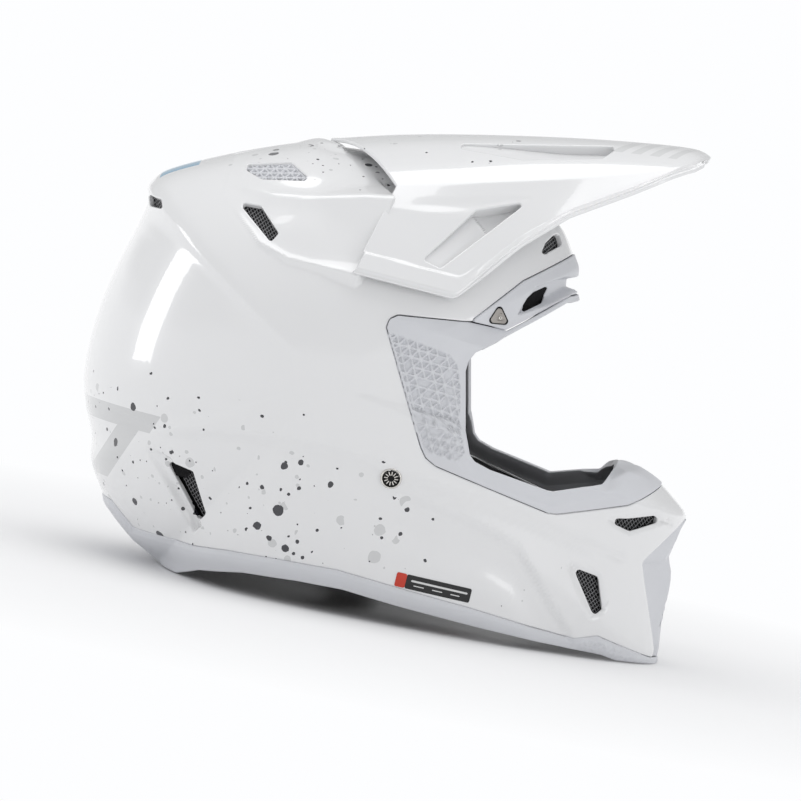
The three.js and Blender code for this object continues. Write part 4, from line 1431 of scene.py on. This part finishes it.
def woven_screen(name, polygon, depth, y_sign):
    """Crossing wires over a side-view outline, in front of a dark backing sheet that is painted shade for the
    vent's inside.
    """
    face = fitted_face(polygon, y_sign)
    zone = grown(polygon, SCREEN_MARGIN)
    lo, hi = zone.min(0), zone.max(0)
    mid, reach = (lo + hi) / 2, np.linalg.norm(hi - lo) / 2 + 2
    build = Build()
    for angle, pitch, radius, phase in WIRES:
        turn = math.radians(angle)
        direction = np.array([math.cos(turn), math.sin(turn)])
        across = np.array([-direction[1], direction[0]])
        count = int(reach / pitch) + 1
        for k in range(-count, count + 1):
            t = np.arange(-reach, reach, WIRE_STEP)
            q = mid + across * k * pitch + direction * t[:, None]
            runs = np.nonzero(polygon_distance(q, zone) < 0)[0]
            if len(runs) < 3:
                continue
            keep = slice(runs[0], runs[-1] + 1)
            wave = WIRE_WAVE * np.sin(t[keep] * math.pi / WIRE_WAVE_LENGTH + (k + phase) * math.pi)
            p, n = face(q[keep], -depth + wave)
            build.add(*sweep(p, circle(radius, 6), n[0]))
    # The dark sheet behind the wires, painted shade.
    back = -depth - SHADE_SHEET_GAP
    at, polygons = plate(zone, 0.8, lambda q: face(q, back)[0], 0.8)
    p, n = face(at, back)
    a, b, c = (p[i] for i in polygons[0][:3])
    if np.cross(b - a, c - a) @ n[0] < 0:
        polygons = [f[::-1] for f in polygons]
    build.add(p, n, polygons, 1)
    build.add(p - n * SHADE_SHEET_WALL, -n, [f[::-1] for f in polygons], 1)
    finish_piece(name, build, [MESH_GREY_PAINTED_GLINT, NYLON], "helmet_body", [name])


SCREEN_DEPTHS = {"shoulder_screen": 3.4, "brow_screen": 8.2, "rear_screen": 7.2, "chin_upper_screen": 4.1,
                 "chin_lower_screen": 4.1, "forehead_screen": 3.4, "rear_slot_screen": 3.4}
for name, depth in SCREEN_DEPTHS.items():
    for tag, sign in BOTH_SIDES:
        woven_screen(f"{name}_{tag}", VENTS[name], depth, sign)


def lathe_piece(name, profile, centre, axis, segments, material, body, node_name, ripple=None):
    build = Build()
    build.add(*lathe(profile, centre, axis, segments, ripple))
    finish_piece(name, build, material, body, [node_name])


# Peak studs: short pins under the wings, with a flange that the wing turns on.
WING_CLEARANCE = 3.6          # from the pin's end to the wing's outer face
wing_points = place_peak(peak_grid)
for tag, sign in BOTH_SIDES:
    hit, _ = on_side(*PEAK_PIVOT, sign)
    wing = wing_points[wing_points[:, 1] * sign > 0]
    nearest = wing[np.argmin(np.hypot(wing[:, 0] - PEAK_PIVOT[0], wing[:, 2] - PEAK_PIVOT[1]))]
    reach = abs(nearest[1]) - abs(hit[1]) - WING_CLEARANCE
    pin = [(3.8, -6), (3.8, reach - 1.4), (5.5, reach - 1.3), (5.5, reach - 0.3), (5.1, reach),
           (2.6, reach), (2.4, reach - 0.6), (0.05, reach - 0.6)]
    lathe_piece(f"peak_pin_{tag}", pin, hit, (0, sign, 0), 40, NYLON, "helmet_body", f"peak_stud_{tag}")

# Strap rivets: a polished dished ring round a black cap with bright splines.
RIVET_RING = [(6.2, -0.4), (6.2, 0.4), (6.15, 1.0), (5.95, 1.5), (5.6, 1.7), (5.25, 1.55), (5.0, 1.1),
              (4.9, 0.2), (4.0, 0.2), (4.0, -6)]
RIVET_CAP = [(4.75, 0.3), (4.7, 0.9), (4.3, 1.15), (2.9, 1.15), (2.6, 0.75), (1.7, 0.7), (1.5, 1.1),
             (0.05, 1.15)]
SPLINES = 12
SPLINE_RADIUS = 0.42
SPLINE_HEIGHT = 1.15


def splined(profile, angle):
    return 1 + 0.09 * np.sign(np.sin(SPLINES * angle)) * smoothstep(1.2, 2.6, profile[..., 0])


for tag, sign in BOTH_SIDES:
    hit, normal = on_side(*STRAP_RIVET, sign)
    if hit[1] * sign < 0 or normal[1] * sign < 0:
        normal = -normal
    lathe_piece(f"strap_rivet_ring_{tag}", RIVET_RING, hit, normal, 64, CHROME, "helmet_body",
                f"strap_rivet_{tag}")
    build = Build()
    build.add(*lathe(RIVET_CAP, hit, normal, 72, splined))
    e1 = unit(np.cross([0, 0, 1.0], normal))
    e2 = np.cross(normal, e1)
    for k in range(SPLINES):
        a = k * math.pi / 6
        radial = math.cos(a) * e1 + math.sin(a) * e2
        path = [hit + radial * r + normal * SPLINE_HEIGHT for r in (1.9, 3.0, 4.1)]
        build.add(*sweep(path, circle(SPLINE_RADIUS, 6), normal), 1)
    finish_piece(f"strap_rivet_cap_{tag}", build, [NYLON, CHROME], "helmet_body", [f"rivet_cap_{tag}"])


PLATE_EPS = 0.1


def plate_piece(name, polygon, radius, place, sign, thickness, material, nodes, step, rim):
    """A thin plate over a rounded side-view outline; place gives its outer face."""
    params, polygons = plate(polygon, radius, place, step)

    def surface(q):
        return place(q), normal_over(place, q, [PLATE_EPS, 0], [0, PLATE_EPS])

    flip = 1 if surface(params[:1])[1][0, 1] * sign > 0 else -1
    build = panel(params, [p[::flip] for p in polygons], lambda q: (surface(q)[0], flip * surface(q)[1]),
                  thickness, rim)
    finish_piece(name, build, material, "helmet_body", nodes)


# Brow badges: a raised border and a plain triangular relief, held by one small screw.
BADGE_OUTLINE = [(46.6, 184.0), (50.6, 194.3), (57.4, 184.9)]
BADGE_CENTRE = (51.4, 187.4)
BADGE_SCREW = [(1.3, -0.4), (1.3, 0.25), (1.1, 0.42), (0.8, 0.45), (0.7, 0.4), (0.68, 0.05), (0.03, 0.02)]
badge_border = rounded(BADGE_OUTLINE, 1.1, -1.5)
badge_relief = rounded(BADGE_OUTLINE, 0.5, -2.9)


def star_recess(profile, angle):
    return 1 + 0.16 * np.cos(6 * angle) * (profile[..., 0] < 0.75)


def badge_lift(q):
    border = smoothstep(-0.2, 0.3, badge_border(q))
    raised = smoothstep(0.2, -0.2, badge_relief(q)) * smoothstep(1.6, 2.0, np.hypot(*(q - BADGE_CENTRE).T))
    return 1.35 + 0.45 * border + 0.3 * raised


for tag, sign in BOTH_SIDES:
    face = fitted_face(BADGE_OUTLINE, sign, 4)
    plate_piece(f"brow_badge_rim_{tag}", grown(BADGE_OUTLINE, 0.7), 1.9, lambda q: face(q, 1.15)[0], sign,
                0.8, NYLON, [], 0.25, 0.2)
    plate_piece(f"brow_badge_plate_{tag}", BADGE_OUTLINE, 1.6, lambda q: face(q, badge_lift(q))[0], sign,
                1.2, BADGE, [f"brow_badge_{tag}"], 0.2, 0.25)
    hit, normal = (v[0] for v in face(np.array([BADGE_CENTRE]), 1.3))
    lathe_piece(f"brow_badge_screw_{tag}", BADGE_SCREW, hit, normal, 36, CHROME, "helmet_body",
                f"brow_screw_{tag}", star_recess)

# Blank label by the bottom edge: a red end and a black field with two plain white bars.
LABEL_CENTRE = np.array([45.4, 26.6])
LABEL_SIZE = np.array([44.5, 8.4])
LABEL_TURN = math.radians(-2.5)
LABEL_GAP = 0.1               # over the shell's face
LABEL_FILM = 0.12


def label_bar(a0, a1, b0, b1):
    """Corners of a bar that is given along and across the label."""
    c, s_ = math.cos(LABEL_TURN), math.sin(LABEL_TURN)
    corners = [(a0, b0), (a1, b0), (a1, b1), (a0, b1)]
    return [tuple(LABEL_CENTRE + [c * a - s_ * b, s_ * a + c * b]) for a, b in corners]


LABEL_RED = plastic("label_red", (0.62, 0.045, 0.02), 0.4, 900, 0.05)
LABEL_BLACK = plastic("label_black", (0.012, 0.012, 0.013), 0.35, 900, 0.05)
LABEL_WHITE = plastic("label_white", (0.75, 0.75, 0.75), 0.4, 900, 0.05)
half_long, half_high = LABEL_SIZE / 2
LABEL_PARTS = (
    ("label_end", label_bar(-half_long, -half_long + 6.0, -half_high, half_high), 1.0, 0.16, LABEL_RED),
    ("label_field", label_bar(-half_long + 6.05, half_long, -half_high, half_high), 1.0, 0.16, LABEL_BLACK),
    ("label_bar_top", label_bar(-half_long + 9, half_long - 2, 0.4, 1.5), 0.2, 0.22, LABEL_WHITE),
    ("label_bar_low", label_bar(-half_long + 9, half_long - 6, -1.9, -1.4), 0.1, 0.22, LABEL_WHITE),
)
label_face = fitted_face(label_bar(-half_long, half_long, -half_high, half_high), -1, 1)
for name, outline, corner, lift, material in LABEL_PARTS:
    plate_piece(name, outline, corner, lambda q: label_face(q, lift + LABEL_GAP)[0], -1, LABEL_FILM, material,
                [], 0.5, 0.03)

# The peak's centre screw, sunk in its recess.
SCREW_BASE = 287.0
SCREW_PROFILE = [(2.6, -12), (2.6, -1.2), (5.0, -1.2), (5.2, -0.9), (5.2, 0.7), (4.9, 1.1), (4.4, 1.25),
                 (2.6, 1.3), (2.4, 1.1), (2.3, -0.4), (0.05, -0.5)]
lathe_piece("peak_centre_screw", SCREW_PROFILE, np.array([CENTRE_SCREW, 0, SCREW_BASE]), (0, 0, 1), 48,
            CHROME, "peak", "peak_screw")

# Crown grilles: ribbed plates sunk in the shoulder's top.
GRILLE_TURN = math.radians(11)
GRILLE_CELL = np.array([6.2, 2.6])
GRILLE_SLANT_PITCH = 4.6
GRILLE_DEPTH = 2.6
GRILLE_RIB = 1.3


def crown_ribs(q):
    """Height of the grille's ribs, 0 to 1: level ones and two slanting sets."""
    c, s_ = math.cos(GRILLE_TURN), math.sin(GRILLE_TURN)
    local = (q - np.array(VENTS["crown_grille"][0])) @ np.array([[c, -s_], [s_, c]])
    s_, t = (local / GRILLE_CELL).T
    bands = [np.abs(t - np.round(t)) * GRILLE_CELL[1]]
    for slope in (-0.5, 0.5):
        w = s_ + slope * t
        bands.append(np.abs(w - np.round(w)) * GRILLE_SLANT_PITCH)
    return smoothstep(0.75, 0.35, np.minimum.reduce(bands))


for tag, sign in BOTH_SIDES:
    face = fitted_face(VENTS["crown_grille"], sign, 1)
    plate_piece(f"crown_grille_plate_{tag}", grown(VENTS["crown_grille"], 0.8), 1.2,
                lambda q: face(q, GRILLE_RIB * crown_ribs(q) - GRILLE_DEPTH)[0], sign, 1.4, TRIM,
                [f"crown_grille_{tag}"], 0.3, 0.2)

# Mouth screen: crossed wires behind the mouth vent's slots.
MESH_PITCH = 2.1
MESH_WIRE = 0.36
MESH_BEHIND = 3.2
MESH_HALF_WIDTH, MESH_LOW, MESH_MIDDLE, MESH_HIGH = 17, 19, 36.5, 53.5
build = Build()
for turn in (-1, 1):
    for k in np.arange(-30, 31) * MESH_PITCH:
        path = []
        for t in np.arange(-32, 32, 1.0):
            y, z = k + 0.55 * turn * t, MESH_MIDDLE + 0.84 * t
            if abs(y) < MESH_HALF_WIDTH and MESH_LOW < z < MESH_HIGH:
                path.append((float(mouth_column(2, z)) - MESH_BEHIND + 0.25 * turn, y, z))
        if len(path) > 2:
            build.add(*sweep(path, circle(MESH_WIRE, 6), (1, 0, 0)))
# The wires' mid grey is a painted glint.
finish_piece("mouth_mesh", build, MESH_GREY_PAINTED_GLINT, "helmet_body", ["mouth_screen"])

# ------------------------------------------------------------------ pads
PUFF_STEPS = 20
PUFF_PRESSURE = 4
PUFF_CAP = 5.0                # the cloth moves no point further than this


def baked(obj):
    """Applies the object's modifiers to its mesh."""
    bpy.context.view_layer.update()
    graph = bpy.context.evaluated_depsgraph_get()
    mesh = bpy.data.meshes.new_from_object(obj.evaluated_get(graph))
    old = obj.data
    obj.modifiers.clear()
    obj.data = mesh
    bpy.data.meshes.remove(old)


def vectors_of(items, attribute):
    flat = np.empty(len(items) * 3, np.float32)
    items.foreach_get(attribute, flat)
    return flat.reshape(-1, 3).astype(float)


def points_and_normals(mesh):
    return vectors_of(mesh.vertices, "co"), vectors_of(mesh.vertex_normals, "vector")


def move_to(mesh, points):
    mesh.vertices.foreach_set("co", points.astype(np.float32).ravel())
    mesh.update()


def puffed(pad, start):
    """Blows a cushion up as cloth under pressure, within the cap."""
    cloth = pad.modifiers.new("cloth", "CLOTH")
    cloth.settings.use_pressure = True
    cloth.settings.uniform_pressure_force = PUFF_PRESSURE
    cloth.settings.effector_weights.gravity = 0
    cloth.point_cache.frame_start = 1
    cloth.point_cache.frame_end = PUFF_STEPS
    for step in range(1, PUFF_STEPS + 1):
        bpy.context.scene.frame_set(step)
    baked(pad)
    bpy.context.scene.frame_set(1)
    moved = vectors_of(pad.data.vertices, "co") - start
    length = np.linalg.norm(moved, axis=1, keepdims=True)
    move_to(pad.data, start + moved * np.minimum(1, PUFF_CAP * MM / np.maximum(length, TINY)))


def soft_pad(name, node_name, voxel, inset, seams):
    """A stuffed piece: remeshed from its solid, inflated, smoothed, then creased along its seams."""
    pad = bpy.data.objects.new(name, frame["nodes"][node_name].data.copy())
    bpy.context.scene.collection.objects.link(pad)
    remesh = pad.modifiers.new("remesh", "REMESH")
    remesh.mode = "VOXEL"
    remesh.voxel_size = voxel
    baked(pad)
    points, normals = points_and_normals(pad.data)
    start = points - normals * inset * MM
    move_to(pad.data, start)
    puffed(pad, start)
    pad.modifiers.new("smooth", "SUBSURF").levels = 2
    baked(pad)
    points, normals = points_and_normals(pad.data)
    move_to(pad.data, points - normals * (seams(points / MM, normals) * MM)[:, None])
    pad.data.shade_smooth()
    pad.data.materials.clear()
    pad.data.materials.append(LINER_BLACK_AND_PAINTED_SHADE)
    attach(pad, "helmet_body")
    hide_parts(node_name)


def groove(distance, width=1.5, depth=1.3):
    return depth * np.exp(-(distance / width) ** 2)


def cheek_seams(p, n):
    """Three seams across the inner face, and one round the rim."""
    x, y, z = p.T
    inner = smoothstep(0.2, 0.7, np.abs(n[:, 1]))
    seam = groove(z - 84 - 0.12 * (x - 30)) + groove(x - 52 - 0.3 * (z - 60)) + groove(x + 24 - 0.1 * z)
    return seam * inner + groove(np.abs(y) - 76, 1.4, 0.9) * (1 - inner)


NECK_SECTION = 0.42           # angle between two seams across the neck roll
NECK_RADIUS = 75


def neck_seams(p, _):
    x, y, z = p.T
    turn = np.arctan2(y, -(x + 60))
    across = np.abs(np.mod(turn / NECK_SECTION, 1.0) - 0.5) * NECK_SECTION * NECK_RADIUS
    return groove(z - 43, 1.5, 1.1) + groove(across, 1.6, 0.9)


def chin_seams(p, _):
    return groove(np.abs(p[:, 1]) - 31, 1.5, 1.1) + groove(p[:, 2] - 60, 1.4, 0.9)


for tag, _ in BOTH_SIDES:
    soft_pad(f"cheek_cushion_{tag}", f"cheek_pad_{tag}", 0.0045, 2.6, cheek_seams)
soft_pad("neck_cushion", "neck_roll", 0.0045, 2.4, neck_seams)
soft_pad("chin_cushion", "chin_guard_pad", 0.004, 1.2, chin_seams)

# Crown pad: a quilted cap on the head's form, puffed between its sewn channels.
HEAD_CENTRE = np.array([-41.0, 0.0, 125.0])
HEAD_RADII = np.array([97.0, 78.0, 97.0])
COMFORT_ZONE = [(-180, 121), (-180, 240), (75, 240), (50, 192), (33, 166), (29, 121)]
COMFORT_WALL = 5.0
COMFORT_RIM = 1.8
QUILT_TURN = 0.5              # angle between two channels across the head
QUILT_RADIUS = 90
QUILT_INNER, QUILT_OUTER = 24, 54
WINDOW_HALF_WIDTH, WINDOW_HALF_LENGTH, WINDOW_CORNER = 9, 9.5, 4
comfort_zone = rounded(COMFORT_ZONE, 8)


def from_channel(p):
    """Distance to the nearest channel that runs across the head."""
    around = np.arctan2(p[:, 2] - HEAD_CENTRE[2], p[:, 0] - HEAD_CENTRE[0])
    return np.abs(np.mod(around / QUILT_TURN, 1.0) - 0.5) * QUILT_TURN * QUILT_RADIUS


def place_comfort(d):
    p = HEAD_CENTRE + d * (HEAD_RADII + 1.6)
    n = unit(d / HEAD_RADII)
    aside = np.abs(p[:, 1])
    lengthwise = np.minimum(np.abs(aside - QUILT_INNER), np.abs(aside - QUILT_OUTER))
    channel = np.minimum(lengthwise, np.where(aside < QUILT_OUTER, from_channel(p), 99))
    puff = 2.2 * (1 - np.exp(-(channel / 3.2) ** 2)) - 1.0
    return p - n * puff[:, None]


def comfort_field(p):
    """Positive on the cap, outside the windows between its channels."""
    aside = np.abs(np.abs(p[:, 1]) - 0.5 * (QUILT_INNER + QUILT_OUTER)) - WINDOW_HALF_WIDTH
    along = WINDOW_HALF_LENGTH - from_channel(p)
    hole = np.hypot(np.maximum(aside + WINDOW_CORNER, 0), np.maximum(along + WINDOW_CORNER, 0))
    high = p[:, 2] > 150
    return np.minimum(-comfort_zone(side(p)), np.where(high, hole - WINDOW_CORNER, 50)) - 1.0


def comfort_surface(d):
    p, n = with_normal(place_comfort, d)
    return p, -n


params, polygons = clip_grid(*sphere_grid(110), place_comfort, comfort_field)
build = panel(params, [p[::-1] for p in polygons], comfort_surface, COMFORT_WALL, COMFORT_RIM)
comfort = finish_piece("crown_cushion", build, LINER_BLACK_AND_PAINTED_SHADE, "helmet_body", ["comfort_liner"])

# ------------------------------------------------------------------ chin strap
STRAP_X = STRAP_RIVET[0]
STRAP_WIDTH = 24
SLOPE_ANGLE = math.atan2(44 - 23, 86 - 30)
RING_PLACE = np.array([59.0, 33.9])
RING_BAR, RING_ACROSS, RING_WIRE, RING_STACK = 11.0, 16.0, 1.35, 1.6
RING_BEND, BOW_START, BOW_REACH = 2, -3, 10.6


def on_slope(distance, lift=0.0):
    """(y, z) at a distance up the strap's slope from the rings' place, lifted off it."""
    c, s_ = math.cos(SLOPE_ANGLE), math.sin(SLOPE_ANGLE)
    return tuple(RING_PLACE + [c * distance - s_ * lift, s_ * distance + c * lift])


def cut_corners(p):
    """The two quarter points of each side, in turn."""
    mixed = np.empty((2 * len(p) - 2, p.shape[1]))
    mixed[0::2] = p[:-1] * 0.75 + p[1:] * 0.25
    mixed[1::2] = p[:-1] * 0.25 + p[1:] * 0.75
    return mixed


def softened(points):
    """An open line with its corners rounded and its ends kept."""
    p = np.asarray(points, float)
    for _ in range(3):
        p = np.vstack([p[:1], cut_corners(p)[1:-1], p[-1:]])
    return p


def band_profile(width, thickness):
    """A flat band with rounded selvedges; its first axis is its width."""
    half, r = width / 2, thickness / 2
    flat = [(-half + r + k * (width - 2 * r) / 12, -r) for k in range(13)]
    bend = [(half - r + r * math.sin(a), -r * math.cos(a)) for a in np.linspace(0.3, math.pi - 0.3, 5)]
    return flat + bend + [(-a, -b) for a, b in flat] + [(-a, -b) for a, b in bend]


def strap_points(route):
    return [(STRAP_X, y, z) for y, z in route]


def oval(centre, tilt, long, wide, count=36):
    a = np.arange(count) * 2 * math.pi / count
    c, s_ = math.cos(tilt), math.sin(tilt)
    y = centre[0] + c * long * np.cos(a) - s_ * wide * np.sin(a)
    z = centre[1] + s_ * long * np.cos(a) + c * wide * np.sin(a)
    return strap_points(zip(y, z))


# Routes in (y, z): from the rivet down the cheek, through the rings and back along the loop.
TAB_ROUTE = [(114.6, 92), (114.6, 74), (111, 61), (101, 51)]
WEBBING_SHAPE = band_profile(STRAP_WIDTH, 2.0)
FOLD_SHAPE = band_profile(STRAP_WIDTH, 1.8)
ACROSS = (1, 0, 0)
build = Build()
left_route = softened([*TAB_ROUTE, (86, 44), on_slope(RING_BAR + 4.8)])
build.add(*sweep(strap_points(left_route), WEBBING_SHAPE, ACROSS))
build.add(*sweep(oval(on_slope(RING_BAR), SLOPE_ANGLE, 4.4, 5.6), FOLD_SHAPE, ACROSS, closed=True))
finish_piece("strap_left", build, WEBBING, "chin_strap", ["chin_strap_left"])
through_rings = [on_slope(-24, 1), on_slope(-15, 4.6), on_slope(-5, 4.6), on_slope(-1, 3), on_slope(0.5, 0),
                 on_slope(-1, -3.4), on_slope(-5, -5), on_slope(-15, -5), on_slope(-26, -4)]
tail_route = [(26, 17.4), (10, 15.6), (-10, 15.6), (-31, 19.2), (-52, 27)]
right_route = [*((-y, z) for y, z in TAB_ROUTE), (-86, 44), (-30, 23), (-10, 19.5), (10, 19.5), (24, 21.4)]
build = Build()
build.add(*sweep(strap_points(softened(right_route + through_rings + tail_route)), WEBBING_SHAPE, ACROSS))
finish_piece("strap_right", build, WEBBING, "chin_strap", ["chin_strap_right"])


def ring_piece(name, node_name, lift):
    """A D ring: a straight bar under the webbing's fold and a bow."""
    bar, across, bend = RING_BAR, RING_ACROSS - RING_WIRE, RING_BEND
    corner = [(bar, -across + bend), (bar, across - bend), (bar - bend, across), (BOW_START, across)]
    bow = [(BOW_START - BOW_REACH * math.sin(a), across * math.cos(a))
           for a in np.linspace(0.12, math.pi - 0.12, 22)]
    path = []
    for distance, sideways in [*corner, *bow, (BOW_START, -across), (bar - bend, -across)]:
        y, z = on_slope(distance, lift)
        path.append((STRAP_X - sideways, y, z))
    path = np.array(path)
    for _ in range(2):
        path = cut_corners(np.vstack([path, path[:1]]))
    build = Build()
    upward = (0, -math.sin(SLOPE_ANGLE), math.cos(SLOPE_ANGLE))
    build.add(*sweep(path, circle(RING_WIRE, 14), upward, closed=True))
    finish_piece(name, build, CHROME, "chin_strap", [node_name])


ring_piece("ring_upper", "d_ring_upper", RING_STACK)
ring_piece("ring_lower", "d_ring_lower", -RING_STACK)

# Stitching: two rows across the fold of the strap.
STITCH_PITCH = 2.2
STITCH_HALF = 0.75
build = Build()
for distance in (RING_BAR + 10.5, RING_BAR + 14.5):
    y, z = on_slope(distance, 1.05)
    for x in STRAP_X + np.arange(-10, 10.1, STITCH_PITCH):
        stitch = [(x - STITCH_HALF, y, z), (x, y, z + 0.18), (x + STITCH_HALF, y, z)]
        build.add(*sweep(stitch, circle(0.3, 6), (0, 0, 1)))
finish_piece("strap_stitching", build, THREAD, "chin_strap", [])

# Red pull tabs under the cheek pads: a folded strip each, by |y| and z.
PULL_TAB_X = 60
PULL_TAB_ROUTE = [(82.5, 33), (82.5, 18), (83.2, 14.9), (84.4, 14.9), (84.9, 18), (84.3, 31)]
for tag, sign in BOTH_SIDES:
    build = Build()
    build.add(*sweep(softened([(PULL_TAB_X, y * sign, z) for y, z in PULL_TAB_ROUTE]),
                     band_profile(16, 1.0), ACROSS))
    finish_piece(f"pull_tab_{tag}", build, TAB, "helmet_body", [f"cheek_pull_tab_{tag}"])

# ------------------------------------------------------------------ camera, light and floor
PITCH = math.radians(11.5)
VIEW_SIDE = math.radians(1.6)
VIEW_RISE = math.radians(2.9)
VIEW_DISTANCE = 3.2
LENS = 239.7
LOOK_AT = Vector((0.0033, 0.0, 0.1234))


def tilted(u, y, v):
    """A direction in the photograph's frame, which is pitched against the helmet's."""
    return Vector((u * math.cos(PITCH) - v * math.sin(PITCH), y, u * math.sin(PITCH) + v * math.cos(PITCH)))


sin_side, cos_side = math.sin(VIEW_SIDE), math.cos(VIEW_SIDE)
sin_rise, cos_rise = math.sin(VIEW_RISE), math.cos(VIEW_RISE)
back = tilted(sin_side * cos_rise, -cos_side * cos_rise, sin_rise)
right = tilted(cos_side, sin_side, 0)
up = tilted(-sin_side * sin_rise, cos_side * sin_rise, cos_rise)
camera_data = bpy.data.cameras.new("camera")
camera_data.sensor_width = 36
camera_data.lens = LENS
camera_data.clip_end = 50
camera = bpy.data.objects.new("camera", camera_data)
turn = Matrix((right, up, back)).transposed().to_4x4()
camera.matrix_world = Matrix.Translation(LOOK_AT + back * VIEW_DISTANCE) @ turn
bpy.context.scene.collection.objects.link(camera)
bpy.context.scene.camera = camera


def area_light(name, place, target, size, power):
    data = bpy.data.lights.new(name, "AREA")
    data.shape = "RECTANGLE"
    data.size, data.size_y = size
    data.energy = power
    light = bpy.data.objects.new(name, data)
    light.location = place
    light.rotation_euler = (Vector(target) - Vector(place)).to_track_quat("-Z", "Y").to_euler()
    bpy.context.scene.collection.objects.link(light)


area_light("overhead", (0.0, 0.0, 1.9), (0, 0, 0.15), (1.7, 1.2), 12.5)
area_light("front_fill", (1.5, -1.3, 0.35), (0.08, 0, 0.12), (0.9, 0.7), 3.5)
area_light("window", (-1.65, -0.12, 0.40), (-0.1, 0, 0.16), (0.42, 0.70), 3.5)

# The studio: white at the horizon and grey above it, so that upright faces read. Each stop is a
# height, 0 to 1, and a level.
SKY_STOPS = ((0.0, 1.0), (0.09, 1.0), (0.16, 0.61), (0.42, 0.52), (0.62, 0.66), (1.0, 0.76))
SKY_TINT = (0.985, 0.99, 1.0)
world = bpy.data.worlds.new("studio")
world.use_nodes = True
world_tree = world.node_tree
direction = node(world_tree, "ShaderNodeSeparateXYZ")
world_tree.links.new(node(world_tree, "ShaderNodeTexCoord").outputs["Generated"], direction.inputs[0])
sky = node(world_tree, "ShaderNodeValToRGB")
for k, (at, level) in enumerate(SKY_STOPS):
    stop = sky.color_ramp.elements[k] if k < 2 else sky.color_ramp.elements.new(at)
    stop.position = at
    stop.color = (*shade(SKY_TINT, level), 1)
world_tree.links.new(direction.outputs[2], sky.inputs[0])
world_tree.links.new(sky.outputs[0], world_tree.nodes["Background"].inputs["Color"])
bpy.context.scene.world = world
bpy.context.scene.view_settings.view_transform = "Standard"

FLOOR_HALF = 40000
FLOOR_DROP = 0.2              # below the helmet's lowest point
FLOOR_WHITE = (0.88, 0.88, 0.885)
floor_build = Build()
floor_points = [(sx * FLOOR_HALF, sy * FLOOR_HALF, -FLOOR_DROP)
                for sx, sy in ((-1, -1), (1, -1), (1, 1), (-1, 1))]
floor_build.add(floor_points, [(0, 0, 1)] * 4, [(0, 1, 2, 3)])
floor_material, floor_tree, floor_bsdf = shader("floor", FLOOR_WHITE, 0.75)
mottle(floor_tree, floor_bsdf, noise(floor_tree, 12, 4), FLOOR_WHITE, 1.0, 0.985)
# Away from the helmet the floor fades to the white of the horizon.
away = node(floor_tree, "ShaderNodeVectorMath", operation="LENGTH")
floor_tree.links.new(object_coords(floor_tree), away.inputs[0])
glow = node(floor_tree, "ShaderNodeEmission")
glow.inputs["Color"].default_value = (*SKY_TINT, 1)
fade = node(floor_tree, "ShaderNodeMixShader")
floor_tree.links.new(ramp_between(floor_tree, away.outputs["Value"], 0.12, 0.55), fade.inputs[0])
floor_tree.links.new(floor_bsdf.outputs[0], fade.inputs[1])
floor_tree.links.new(glow.outputs[0], fade.inputs[2])
floor_tree.links.new(fade.outputs[0], floor_tree.nodes["Material Output"].inputs["Surface"])
floor = make_object("floor", floor_build, floor_material, normals=False)
